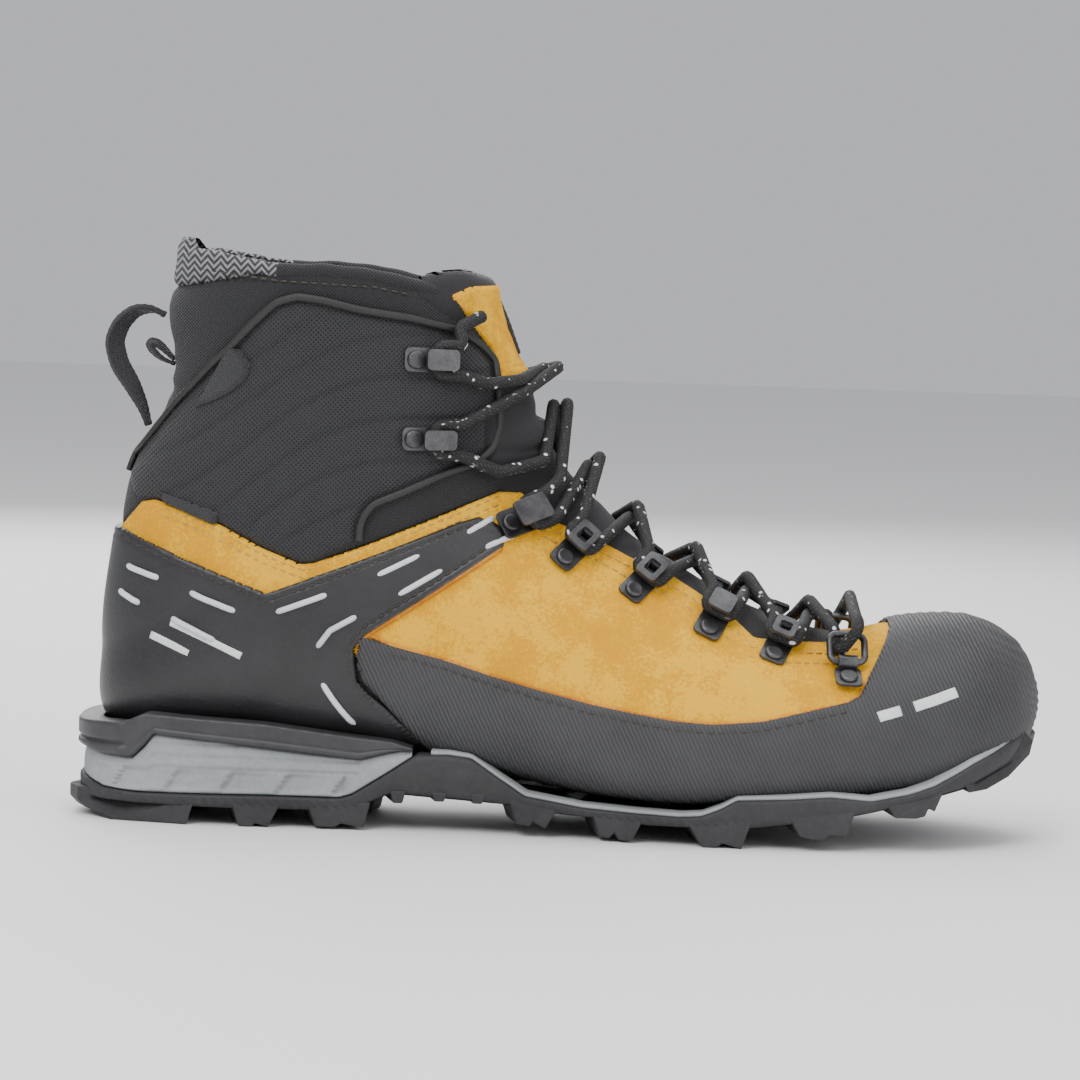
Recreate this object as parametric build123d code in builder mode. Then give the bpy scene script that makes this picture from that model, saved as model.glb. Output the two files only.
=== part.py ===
from build123d import *
from math import cos, copysign, pi, radians, sin, tan
import os

os.makedirs("parts", exist_ok=True)

# One right-foot mountaineering boot. Toe +X, outer (lateral) side -Y, up +Z, millimetres.
# Side outlines are written as (distance forward of the heel, height above the ground).
HALF_LENGTH = 152.0
CLEAR = 0.2

# Layers measured outward from the foot cavity
LINER = (0.2, 1.6)
UPPER = (2.0, 1.6)
COVER = (3.8, 1.5)
PADDING = (2.0, 2.8)
TONGUE_PAD = (-4.4, 4.0)
TONGUE_FACE = (-0.2, 1.5)
PIPING = (5.0, 0.9)

LACE_RADIUS = 2.0
CABLE_RADIUS = 0.8
LACE_SKIN = 8.6
CROSSING = 2.3
LUG_DEPTH = 6.0

# Cavity sections: plane origin x, z, tilt, top, bottom, widest level, lateral, medial,
# centre, upper and lower squareness
SECTIONS = [
    (300, 0, 0, 50, 37, 43, 11, 11, 8, 2.2, 2.4),
    (297, 0, 0, 57, 31.5, 41, 20, 20, 8, 2.3, 2.6),
    (291, 0, 0, 62.5, 27, 39, 30, 28, 7, 2.4, 3.0),
    (281, 0, 0, 66, 23.5, 36, 38, 35, 6, 2.4, 3.4),
    (265, 0, 0, 65.5, 20, 32, 44, 42, 4, 2.3, 3.6),
    (245, 0, 0, 62.5, 18, 30, 47.5, 47, 2, 2.1, 3.8),
    (225, 0, 0, 65, 16.5, 29, 49, 48.5, 1, 2.0, 3.8),
    (205, 150, 0, -77, -134, -123, 49, 46, 0, 1.9, 3.6),
    (205, 150, 15, -69, -138.5, -125, 46, 41, 0, 1.9, 3.4),
    (205, 150, 30, -66.5, -148, -120, 42, 36, 0, 1.9, 3.2),
    (205, 150, 42, -65, -166, -118, 38, 35, 0, 1.9, 3.2),
    (205, 150, 52, -67, -197, -125, 36.5, 35, 0, 2.0, 2.8),
    (205, 150, 58, -68, -226, -130, 36, 35.5, 0, 2.0, 2.4),
    (205, 150, 64, -69, -217.5, -128, 36, 36, 0, 2.0, 2.2),
    (205, 150, 70, -67.5, -206.5, -126, 36.5, 36.5, 0, 2.1, 2.1),
    (205, 150, 78, -67.5, -192, -124, 37, 37, 0, 2.2, 2.1),
    (205, 150, 84, -69.5, -178, -124, 37.5, 37.5, 0, 2.2, 2.1),
    (205, 150, 88.5, -72.5, -176, -125, 38, 38, 0, 2.2, 2.1),
    (205, 165, 88.8, -78.5, -178, -130, 39, 39, 0, 2.2, 2.1),
    (205, 195, 89, -83, -174, -131, 42, 42, 0, 2.2, 2.1),
]
TOE_GROWTH = {300: 1.0, 297: 0.9, 291: 0.6}

# Seams and edges seen from the side
THROAT = [
    (262, 69.5), (256, 66.5), (250, 62.5), (238, 60), (224, 60.5), (212, 62), (206, 67), (200, 70),
    (195, 74), (186, 79.5), (172, 85.5), (158, 93), (146, 97.5), (137, 106),
]
CUFF_FRONT = [(130, 108), (127.5, 120), (128, 135), (125, 150), (117, 160), (112, 169)]
COLLAR = [(105, 171.5), (90, 174.8), (75, 176), (62, 175.5), (45, 178), (33, 179.5), (26, 178)]
KNIT_SEAM = [(62, 174.8), (50, 172), (35, 169), (18, 165.5)]
BAND_TOP = [
    (130, 106.5), (120, 102.5), (92, 90.5), (74, 83.5), (70, 83), (45, 94), (24, 100.5), (20, 99.5),
    (13, 90.5),
]
OVERLAY_TOP = [(129, 96), (124, 98.5), (118, 97), (60, 73.5), (14.5, 90.5), (-5, 92)]
PANEL_EDGE = [
    (88, 91), (88, 96), (92, 103), (100, 106.5), (113, 113), (122, 116.5), (126.5, 122), (127, 140),
    (123, 150), (115, 156.5), (100, 161), (85, 163.5), (70, 166), (62, 165), (54, 158), (40, 142),
    (30, 128), (17, 111),
]
RAND_TOP = [
    (91, 61), (100, 58.5), (115, 55), (130, 50.5), (150, 45.5), (175, 40), (188, 38), (200, 37.3),
    (215, 38.5), (230, 41.5), (245, 44.5), (250, 53), (255, 60), (261, 72),
]
RAND_FOOT = [
    (302, 43.5), (299, 36), (290, 32), (283, 29), (270, 22.5), (262, 20), (250, 17.8), (237, 18.6),
    (225, 17.8), (208, 16.5), (203, 14), (190, 12), (175, 12), (160, 13), (142, 15), (133, 20),
    (125, 25.5), (118, 26.3), (112, 29.6), (100, 39.5), (90, 48.5), (88.5, 56),
]
SOLE_TOP = [
    (303.5, 45), (301, 38), (298.5, 34.5), (290, 30.6), (283, 27.6), (278, 24.8), (270, 20.8),
    (262, 18.2), (250, 16), (237, 17), (225, 16), (208, 15), (203, 12), (197, 9.6), (190, 9),
    (175, 9.4), (160, 10.2), (142, 12.8), (133, 18.6), (125, 24), (118, 24.5), (108, 24.5),
    (88, 11), (84, 9.6), (60, 9.6), (20, 9.2), (8, 9.6), (1.5, 12),
]
SOLE_BASE = [
    (0, 6), (50, 5.5), (90, 6), (94, 9), (100, 11.8), (138, 9.8), (153, 7.8), (163, 7.2),
    (180, 5.8), (193, 5.8), (212, 6.3), (225, 8), (244, 11.2), (255, 13.6), (272, 17.8),
    (280, 19.8), (295, 26.5), (303.5, 33),
]
# Plan outline of the tread: distance from the heel, lateral and medial half widths
SOLE_PLAN = [
    (0, 12, 12), (4, 24, 23), (14, 33, 31), (35, 37.5, 35), (65, 38, 35.5), (100, 38, 31),
    (135, 40, 29), (165, 45, 34), (195, 51, 43), (225, 53.5, 50), (250, 52, 51), (270, 47, 47),
    (285, 38.5, 41), (296, 26, 31), (302, 12, 18),
]

forms = {}
SIDE = Plane(origin=(-HALF_LENGTH, 0, 0), x_dir=(1, 0, 0), z_dir=(0, -1, 0))
GROUND = Plane(origin=(-HALF_LENGTH, 0, 0))


def ring(top, bottom, wide, lateral, medial, centre, upper, lower, grow):
    # Points round one closed cavity section, starting at the sole
    count = 14
    points = []
    for step in range(count):
        turn = 2 * pi * step / count - pi / 2
        rise, run = sin(turn), cos(turn)
        power = 2 / (upper if rise > 0 else lower)
        reach = (top - wide if rise > 0 else wide - bottom) + grow
        half = (medial if run > 0 else lateral) + grow
        across = centre + half * copysign(abs(run) ** power, run)
        points.append((across, wide + reach * copysign(abs(rise) ** power, rise)))
    return points


def last_form(grow):
    # Solid of the foot cavity, grown outward by the given distance
    if grow in forms:
        return forms[grow]
    with BuildPart() as form:
        for x, z, tilt, *shape in SECTIONS:
            lean = radians(tilt)
            start = x - HALF_LENGTH + grow * TOE_GROWTH.get(x, 0)
            station = Plane(origin=(start, 0, z), x_dir=(0, 1, 0), z_dir=(cos(lean), 0, -sin(lean)))
            with BuildSketch(station):
                with BuildLine():
                    Polyline(*ring(*shape, grow), close=True)
                make_face()
        loft(ruled=True)
    forms[grow] = form.part
    return form.part


def reach(side):
    # Extrusion distances for the lateral, medial or both sides
    return {"lateral": (0, 90), "medial": (-90, 0), "both": (-90, 90)}[side]


def side_block(outline, side="both"):
    # Prism of a side outline
    low, high = reach(side)
    with BuildPart() as block:
        with BuildSketch(SIDE.offset(low)):
            with BuildLine():
                Polyline(*outline, close=True)
            make_face()
        extrude(amount=high - low)
    return block.part


def shell(outline, layer, side="both"):
    # Sheet of one layer, cut to a side outline and following the form
    with BuildPart() as sheet:
        add(last_form(layer[0] + layer[1]) & side_block(outline, side))
        add(last_form(layer[0]), mode=Mode.SUBTRACT)
    return sheet


def strip(points, width, layer, side):
    # Narrow band of one layer along an open line
    low, high = reach(side)
    with BuildPart() as block:
        with BuildSketch(SIDE.offset(low)):
            with BuildLine():
                Polyline(*points)
            trace(line_width=width)
        extrude(amount=high - low)
    with BuildPart() as band:
        add(last_form(layer[0] + layer[1]) & block.part)
        add(last_form(layer[0]), mode=Mode.SUBTRACT)
    return band


def save(builder, name):
    builder.part.label = name
    export_step(builder.part, "parts/" + name + ".step")


# ---- Sole -------------------------------------------------------------------------------------
def plan_points(inset):
    lateral = [(x, -(out - inset)) for x, out, _ in SOLE_PLAN]
    medial = [(x, inner - inset) for x, _, inner in reversed(SOLE_PLAN)]
    return lateral + medial


def plan_block(inset, low, high):
    with BuildPart() as block:
        with BuildSketch(GROUND.offset(low)):
            with BuildLine():
                Spline(*plan_points(inset), periodic=True)
            make_face()
        extrude(amount=high - low)
    return block.part


LUGS = [
    ((3, 2.5), (0.5, 5), (0, 7), (39, 7), (36, 0), (12, 0)),
    ((50, 7), (53, 0), (62, 0), (66, 7)),
    ((74, 7), (77, 0.8), (92, 0.8), (94, 7)),
    ((100, 12), (101, 9), (104, 9), (105, 12)),
    ((113, 12), (114, 10), (117, 10), (118, 12)),
    ((125, 12), (126, 9.8), (129, 9.8), (130, 12)),
    ((137, 11), (140, 4), (149, 3), (153, 9)),
    ((163, 9), (166, 1.3), (176, 0.5), (180, 8)),
    ((192, 8), (198, 0), (210, 0), (213, 8)),
    ((224, 10), (228, 4.6), (242.5, 5), (245, 12)),
    ((254, 15), (257.5, 11), (270, 13), (273, 19)),
    ((279, 21), (281, 18.5), (290, 20.5), (303, 31), (300, 34)),
]

sole_side = side_block(SOLE_BASE + SOLE_TOP)
sole_bed = plan_block(0, -1, 50) & sole_side
seat_form = last_form(COVER[0] + COVER[1] + CLEAR)
with BuildPart() as tread:
    for lug in LUGS:
        with BuildSketch(SIDE.offset(-60)):
            with BuildLine():
                Polyline(*lug, close=True)
            make_face()
        extrude(amount=120)
    # Centre channel and the two grooves that split every bar into blocks
    for offset, width in ((0, 7), (-24, 4), (24, 4)):
        with Locations((0, offset, 0)):
            Box(2.2 * HALF_LENGTH, width, 2 * LUG_DEPTH, mode=Mode.SUBTRACT)
blocks = tread.part & plan_block(0.8, -1, 50)
with BuildPart() as outsole:
    add(sole_bed)
    add(blocks)
    add(seat_form, mode=Mode.SUBTRACT)
save(outsole, "outsole")

WEDGE = [
    (1.5, 12.3), (8, 9.9), (20, 9.5), (60, 9.9), (84, 9.9), (88, 11.4), (107.6, 24.8), (103, 25.4),
    (97, 24), (90, 22), (25, 27.8), (18, 20), (8, 20.5), (1.5, 22),
]
with BuildPart() as heel_wedge:
    add(plan_block(1.2, 5, 40) & side_block(WEDGE))
    add(seat_form, mode=Mode.SUBTRACT)
    # Three horizontal grooves along each side wall
    for level, front in ((25, 50), (21, 88), (17.5, 88)):
        for wall in (-38, 37):
            with Locations(((25 + front) / 2 - HALF_LENGTH, wall, level)):
                Box(front - 25, 5, 1, mode=Mode.SUBTRACT)
save(heel_wedge, "heel_wedge")

STABILIZER = [
    (0.3, 22.3), (8, 20.8), (18, 20.3), (25, 28.1), (90, 22.3), (97, 24.3), (103, 25.7), (107, 25.4),
    (100, 28.5), (60, 32.5), (22, 34), (16, 31.5), (0.3, 31),
]
with BuildPart() as heel_stabilizer:
    add(plan_block(-0.6, 15, 45) & side_block(STABILIZER))
    add(seat_form, mode=Mode.SUBTRACT)
    # Crampon notch across the back of the ledge
    with Locations((-HALF_LENGTH, 0, 26)):
        Box(5, 44, 2, mode=Mode.SUBTRACT)
save(heel_stabilizer, "heel_stabilizer")

BOARD_TOP = [
    (285, 25), (265, 21.5), (245, 19.5), (225, 18), (205, 17.5), (168, 17.8), (130, 23.6),
    (92, 28.6), (48, 31), (20, 32),
]
lasting_board = shell([(20, 5), (285, 5)] + BOARD_TOP, UPPER)
save(lasting_board, "lasting_board")

FOOTBED = (-3.4, 3.4)
footbed = shell([(20, 10), (285, 10)] + [(x, z + 6) for x, z in BOARD_TOP], FOOTBED)
save(footbed, "footbed")


# ---- Upper ------------------------------------------------------------------------------------
def below(points, drop):
    return [(x, z - drop) for x, z in points]


def mirror_order(points):
    return list(reversed(points))


liner_edge = below(THROAT, 2) + [(x - 2, z) for x, z in CUFF_FRONT] + below(COLLAR, 1)
liner = shell([(-10, 5), (320, 5), (320, 80), (266, 80)] + liner_edge + [(-10, 177)], LINER)
save(liner, "liner")

suede_hem = [
    (262, 58), (256, 44), (245, 36), (230, 33), (200, 29), (175, 31), (150, 37), (130, 42),
    (100, 50), (89, 54), (84, 58), (87, 63), (128, 90), (118, 92), (60, 68.5), (17, 84.5),
]
suede_upper = shell([(264, 75), (262, 72)] + THROAT + BAND_TOP + mirror_order(suede_hem), UPPER)
save(suede_upper, "suede_upper")

toe_rand = shell(RAND_TOP + [(262, 90), (320, 90), (320, 43.5)] + RAND_FOOT, COVER)
save(toe_rand, "toe_rand")

OVERLAY_HEM = [
    (-5, 34), (14, 34), (22, 35), (60, 33.2), (100, 29.2), (108, 27), (111, 29), (99.5, 39),
    (88.2, 49), (88, 58), (91, 62), (125, 84.5), (132, 89), (133, 92),
]
heel_overlay = shell(OVERLAY_TOP + OVERLAY_HEM, COVER)
save(heel_overlay, "heel_overlay")

counter_edge = [
    (-5, 34), (20, 34), (60, 33), (80, 31), (82, 56), (80, 76), (60, 67.5), (17, 83.5), (-5, 84),
]
heel_counter = shell(counter_edge, UPPER)
save(heel_counter, "heel_counter")

toe_puff = shell([(265, 90), (263, 57), (258, 44), (258, 26), (286, 27), (287, 22), (320, 22), (320, 90)], UPPER)
save(toe_puff, "toe_puff")

for side in ("lateral", "medial"):
    lower_edge = [(x, z + 0.6) for x, z in BAND_TOP[3:7]]
    panel = shell(PANEL_EDGE + mirror_order(lower_edge), PADDING, side)
    save(panel, "quarter_panel_" + side)
    piping = strip(mirror_order(PANEL_EDGE), 2.4, PIPING, side)
    save(piping, "piping_" + side)

cuff_top = COLLAR[:4]
ankle_cuff = shell(
    [(130.5, 107), (131, 112), (129.5, 120), (129.8, 140), (127, 150.5), (118.5, 160), (112.5, 169)]
    + cuff_top + below(KNIT_SEAM, 0.3) + [(-5, 165), (-5, 92.5)]
    + [(13, 92.2), (17, 98.5), (19, 101.8), (16.2, 111), (29.4, 128.4), (39.4, 142.4), (53.6, 158.5),
       (61.6, 165.6), (70, 166.6), (85, 164.1), (100, 161.6), (115.3, 157.1), (123.6, 150.3),
       (127.6, 140), (127.1, 121.8), (122.4, 116), (113.3, 112.4), (100.3, 105.9), (92.5, 102.5),
       (88.6, 95.8), (88.6, 91.4), (92, 91.3), (120, 103.3)],
    PADDING,
)
save(ankle_cuff, "ankle_cuff")

knit_collar = shell(KNIT_SEAM + [(-5, 165.5), (-5, 185), (33, 185)] + mirror_order(COLLAR[3:]),
                    PADDING)
save(knit_collar, "knit_collar")

tongue_line = below(THROAT, 6)
tongue = shell(
    tongue_line[2:] + [(128, 110), (122, 125), (118, 150), (104, 165), (104, 172), (112, 175),
                       (126, 175), (200, 130), (262, 85), (254, 64)],
    TONGUE_PAD,
)
save(tongue, "tongue")

gusset = shell(
    below(THROAT[1:], -1.5) + [(131, 112), (131.5, 139.5), (170, 139.5), (262, 85), (258, 68)],
    TONGUE_FACE,
)
save(gusset, "tongue_softshell")

tongue_patch = shell(
    [(131.5, 140.3), (128, 150.5), (120, 160), (114, 169), (135, 169), (170, 140.3)], TONGUE_FACE
)
save(tongue_patch, "tongue_patch")


# ---- Fittings on the surface ------------------------------------------------------------------
def seat(x, z, side, grow, turn=0.0):
    # Plane on the grown form at a side-view point: z outward, x turned up from forward
    ray = Axis((x - HALF_LENGTH, 0, z), (0, -1 if side == "lateral" else 1, 0))
    hits = last_form(grow).find_intersection_points(ray)
    if not hits:
        raise ValueError("no surface at " + str((x, z, side, grow)))
    sign = -1 if side == "lateral" else 1
    point, normal = max(hits, key=lambda hit: sign * hit[0].Y)
    if normal.Y * sign < 0:
        normal = -normal
    ahead = Vector(cos(radians(turn)), 0, sin(radians(turn)))
    ahead = ahead - normal * ahead.dot(normal)
    return Plane(origin=point, x_dir=ahead, z_dir=normal)


HOOK_LENGTH = (-8.5, 7.5)
POST = (4.2, 6.6)
SHEET = 1.0
TOP_LEVEL = 6.2
RIVET_U = -4.8


def speed_hook(width, cap, window):
    # Riveted base, post and cap; the lace lies between base and cap, behind the post
    low, high = HOOK_LENGTH
    with BuildPart() as hook:
        with BuildSketch():
            with Locations(((low + high) / 2, 0)):
                RectangleRounded(high - low, width, 2)
            with Locations((RIVET_U, 0)):
                Circle(1.6, mode=Mode.SUBTRACT)
        extrude(amount=SHEET)
        with BuildSketch(Plane.XY.offset(SHEET)):
            with Locations((sum(POST) / 2, 0)):
                RectangleRounded(POST[1] - POST[0], 3.4, 0.8)
        extrude(amount=TOP_LEVEL - SHEET)
        with BuildSketch(Plane.XY.offset(TOP_LEVEL)):
            with Locations(((high - cap / 2), 0)):
                RectangleRounded(cap, width - 1, 1.6)
                if window:
                    RectangleRounded(cap - 5, width - 4.6, 0.9, mode=Mode.SUBTRACT)
        extrude(amount=SHEET + 0.2)
    return hook.part


def rivet():
    with BuildPart() as stud:
        with Locations((0, 0, 0.6)):
            Cylinder(1.45, 0.95)
        with Locations((0, 0, 1.6)):
            Cylinder(2.9, 1.1)
        fillet(stud.edges().group_by(Axis.Z)[-1], 0.8)
    return stud.part


# name: centre x and z, turn, layer below, plate width, cap length, window
GUIDES = {
    "ankle_hook_upper": (108.2, 148, 0, 5.0, 7.6, 10.5, False),
    "ankle_hook_lower": (108.2, 123.5, 0, 5.0, 7.2, 10.5, False),
    "instep_hook": (138.2, 98.6, 32, 3.9, 9.5, 12.5, False),
    "eyelet_1": (154.4, 89.4, 50, 3.9, 8.4, 10.5, True),
    "eyelet_2": (176.4, 79.6, 54, 3.9, 8.4, 10.5, True),
    "lock_eyelet": (199.4, 68.6, 65, 3.9, 9.0, 9.0, False),
    "eyelet_4": (219.8, 61.0, 70, 3.9, 8.4, 9.5, True),
}
LIFT = 0.35
SIDES = ("lateral", "medial")
rivets = []
for side in SIDES:
    for name, (x, z, turn, grow, width, cap, window) in GUIDES.items():
        place = seat(x, z, side, grow, turn)
        place = place.offset(LIFT)
        with BuildPart() as guide:
            add(place.location * speed_hook(width, cap, window))
        save(guide, name + "_" + side)
        rivets.append(place.location * Pos(RIVET_U, 0, 0) * rivet())

# ---- D-rings ----------------------------------------------------------------------------------
RING_X = 241.5
RING_Z = 55.5
RING_REACH = 9.8
RING_WIDTH = 11.0
RING_WIRE = 1.1
HINGE_LEVEL = 2.5
RING_RISE = 27.0
for side in SIDES:
    place = seat(RING_X, RING_Z, side, 3.9, 88).offset(LIFT)
    with BuildPart() as anchor:
        with BuildSketch():
            with Locations((-5.2, 0)):
                RectangleRounded(9.0, 8.4, 1.8)
            with Locations((RIVET_U - 1, 0)):
                Circle(1.6, mode=Mode.SUBTRACT)
        extrude(amount=SHEET)
        with BuildSketch(Plane.XZ.offset(-3.0)):
            with Locations((0, HINGE_LEVEL)):
                Circle(2.3)
                Circle(RING_WIRE + 0.2, mode=Mode.SUBTRACT)
        extrude(amount=6.0)
    with BuildPart() as anchor_plate:
        add(place.location * anchor.part)
    save(anchor_plate, "d_ring_plate_" + side)
    rivets.append(place.location * Pos(RIVET_U - 1, 0, 0) * rivet())
    with BuildPart() as wire:
        with BuildLine() as outline:
            FilletPolyline(
                (0, RING_WIDTH / 2), (RING_REACH, RING_WIDTH / 2),
                (RING_REACH, -RING_WIDTH / 2), (0, -RING_WIDTH / 2), radius=2.6, close=True,
            )
        loop = outline.wires()[0]
        with BuildSketch(Plane(origin=loop @ 0, z_dir=loop % 0)):
            Circle(RING_WIRE)
        sweep(path=loop)
    tipped = place.location * Pos(0, 0, HINGE_LEVEL) * Rot(0, -RING_RISE, 0) * wire.part
    with BuildPart() as d_ring:
        add(tipped)
    save(d_ring, "d_ring_" + side)
    axis = place.y_dir
    hinge = place.origin + place.z_dir * HINGE_LEVEL
    print("hinge", side, tuple(hinge), tuple(axis), tuple(place.x_dir), tuple(place.z_dir))

with BuildPart() as rivet_group:
    add(rivets)
save(rivet_group, "rivets")
print("rivets", len(rivet_group.part.solids()))


# ---- Cords ------------------------------------------------------------------------------------
def bend_radii(points, tightest=0.5, widest=12.0):
    # One radius per corner, from the shorter run beside it
    radii = []
    for before, corner, after in zip(points, points[1:], points[2:]):
        run_in = corner - before
        run_out = after - corner
        half_turn = radians(run_in.get_angle(run_out)) / 2
        room = 0.45 * min(run_in.length, run_out.length) / tan(max(half_turn, 0.02))
        radii.append(max(tightest, min(room, widest)))
    return radii


def cord(points, radius, name):
    with BuildPart() as tube:
        with BuildLine() as route:
            FilletPolyline(*points, radius=bend_radii(points))
        line = route.wires()[0]
        with BuildSketch(Plane(origin=line @ 0, z_dir=line % 0)):
            Circle(radius)
        sweep(path=line)
    save(tube, name)
    print(name, "length", round(line.length, 1), "volume ratio",
          round(tube.part.volume / (pi * radius ** 2 * line.length), 3),
          "tightest bend", round(min(bend_radii(points)), 2))
    return tube


LEG = 4.5
LACE_LEVEL = SHEET + LACE_RADIUS + 0.4
# Where the two runs cross over the tongue, between one pair of guides and the next
CROSSINGS = {
    "eyelet_4": (231, 72), "lock_eyelet": (211, 79), "eyelet_2": (194, 88), "eyelet_1": (174, 101),
    "instep_hook": (161, 117), "ankle_hook_lower": (149.5, 135), "ankle_hook_upper": (146.5, 146),
}
ORDER = list(CROSSINGS)
WAYPOINTS = {
    ("instep_hook", "out"): [(150, 111)],
    ("ankle_hook_lower", "in"): [(145, 117), (131, 113.5)],
    ("ankle_hook_lower", "out"): [(126, 132), (137, 138)],
    ("ankle_hook_upper", "in"): [(136, 142), (126, 141)],
}


def on_guide(name, side, u, v, level=LACE_LEVEL):
    x, z, turn, grow, *_ = GUIDES[name]
    place = seat(x, z, side, grow, turn).offset(LIFT)
    flip = 1 if side == "lateral" else -1
    return place.from_local_coords(Vector(u, flip * v, level))


def crossing(name, lift):
    x, z = CROSSINGS[name]
    outward = Vector(x - 205, 0, z - 150).normalized() * -1
    if x > 205:
        outward = Vector(0, 0, 1)
    if z > 120:
        outward = Vector(1, 0, 0.12).normalized()
    return Vector(x - HALF_LENGTH, 0, z) + outward * lift


def half_lace(start_side, over):
    # One run of the lace, from its D-ring up to the tucked end
    points = []
    side = start_side
    for index, name in enumerate(ORDER):
        lift = CROSSING if (index % 2 == 0) == over else -CROSSING
        points.append(crossing(name, lift))
        side = "medial" if side == "lateral" else "lateral"
        for x, z in WAYPOINTS.get((name, "in"), []):
            points.append(seat(x, z, side, LACE_SKIN).origin)
        points += [
            on_guide(name, side, 9.5, -LEG), on_guide(name, side, 1.4, -LEG),
            on_guide(name, side, 1.4, LEG), on_guide(name, side, 9.5, LEG),
        ]
        for x, z in WAYPOINTS.get((name, "out"), []):
            points.append(seat(x, z, side, LACE_SKIN).origin)
    points.append(seat(117, 158.5, side, 8.4).origin)
    points.append(seat(124, 162, side, 8.0).origin)
    return points


def ring_turn(side, reverse):
    # Lace passing over and back under one D-ring
    place = seat(RING_X, RING_Z, side, 3.9, 88).offset(LIFT)
    flip = 1 if side == "lateral" else -1
    over = [(15, -3.0, 9.8), (9.6, -3.0, 11.6), (4.6, -2.4, 11.6)]
    under = [(4.6, 2.4, 2.5), (9.6, 3.0, 2.5), (15, 3.0, 4.5)]
    turn = [place.from_local_coords(Vector(u, flip * v, w)) for u, v, w in over + under]
    return turn[::-1] if reverse else turn


lace_points = half_lace("lateral", True)[::-1]
lace_points += ring_turn("lateral", True)
lace_points += [Vector(244 - HALF_LENGTH, 0, 76)]
lace_points += ring_turn("medial", False)
lace_points += half_lace("medial", False)
lace = cord(lace_points, LACE_RADIUS, "lace")

def over_skin(points, side, grow):
    return [seat(x, z, side, grow).origin for x, z in points]


# Stabilizer cable: instep hook to the heel guide and back down to the sole edge
CABLE_SKIN = 5.3 + CABLE_RADIUS + 1.3
CABLE_RUN = [
    (121, 93.8), (108, 87.8), (93, 80.5), (78.5, 74), (64, 68), (52, 67), (37, 72.5), (26.5, 76.5),
    (18, 79), (14, 75), (17, 70), (31.5, 64), (44.5, 58), (58, 52), (70, 45), (76, 38),
]
CABLE_FRONT = [
    (127.5, 89.8), (115, 83), (100, 74.5), (88, 68), (80, 62.5), (77, 55), (79, 46.5), (88, 37),
]
for side in SIDES:
    cord(over_skin(CABLE_RUN, side, CABLE_SKIN), CABLE_RADIUS, "cable_rear_" + side)
    cord(over_skin(CABLE_FRONT, side, CABLE_SKIN), CABLE_RADIUS, "cable_front_" + side)

# Blank woven tabs stitched to the upper
LEAF_TAB = [(49, 149.5), (54, 144.5), (52, 138.5), (45, 134), (38.5, 130), (42, 138)]
SMALL_TAB = [(26.5, 104), (28, 100.5), (43.5, 94.6), (44, 99)]
leaf_tab = shell(LEAF_TAB, (6.1, 0.8), "lateral")
save(leaf_tab, "leaf_tab")
small_tab = shell(SMALL_TAB, (5.0, 0.8), "lateral")
save(small_tab, "small_tab")

# Keeper strip down the front of the tongue
keeper_line = [(125.6, 166.5), (129.6, 158.5), (132.8, 150.5)]
with BuildPart() as tongue_keeper:
    with BuildSketch(SIDE.offset(-3.0)):
        with BuildLine():
            Spline(*[(x + 2.4, z + 1.2) for x, z in keeper_line])
        trace(line_width=1.4)
    extrude(amount=6.0)
save(tongue_keeper, "tongue_keeper")


def webbing(points, width, thickness, name):
    # Flat strap in the side plane, following a loose curve
    with BuildPart() as strap:
        with BuildSketch(SIDE.offset(-width / 2)):
            with BuildLine():
                Spline(*points)
            trace(line_width=thickness)
        extrude(amount=width)
    save(strap, name)
    return strap


PULL_LOOP = [
    (18.5, 158), (13, 159.5), (8.5, 155.5), (6, 149.5), (8, 142.5), (12.5, 136), (16.5, 129),
    (15.6, 124),
]
pull_loop = webbing(PULL_LOOP, 6.0, 1.6, "heel_pull_loop")

# Small tape loop sewn to the back of the cuff inside the pull loop
TAPE_LOOP = [(23.7, 144.8), (20.8, 145.2), (17.9, 147.6), (18.4, 150), (20.8, 149.8), (23.7, 148)]
tape_loop = webbing(TAPE_LOOP, 4.4, 1.0, "heel_tape_loop")
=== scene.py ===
import math

import bmesh
import bpy
import numpy as np
from mathutils import Matrix, Vector
from mathutils.bvhtree import BVHTree


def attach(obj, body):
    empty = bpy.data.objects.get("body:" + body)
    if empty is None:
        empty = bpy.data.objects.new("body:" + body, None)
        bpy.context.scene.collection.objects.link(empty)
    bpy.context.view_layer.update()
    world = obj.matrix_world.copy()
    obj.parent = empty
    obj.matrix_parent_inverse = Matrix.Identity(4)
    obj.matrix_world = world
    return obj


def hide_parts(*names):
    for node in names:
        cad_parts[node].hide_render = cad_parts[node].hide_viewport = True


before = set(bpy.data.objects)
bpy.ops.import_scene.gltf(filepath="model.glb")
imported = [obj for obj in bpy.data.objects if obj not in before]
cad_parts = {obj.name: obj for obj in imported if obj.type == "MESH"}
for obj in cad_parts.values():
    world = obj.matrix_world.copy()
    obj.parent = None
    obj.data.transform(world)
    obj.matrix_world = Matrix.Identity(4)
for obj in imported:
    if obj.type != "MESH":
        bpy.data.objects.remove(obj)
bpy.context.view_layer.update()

# Side outlines are (mm forward of the heel, mm above the ground), as on the CAD part.
HALF = 152.0
MM = 0.001

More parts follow.
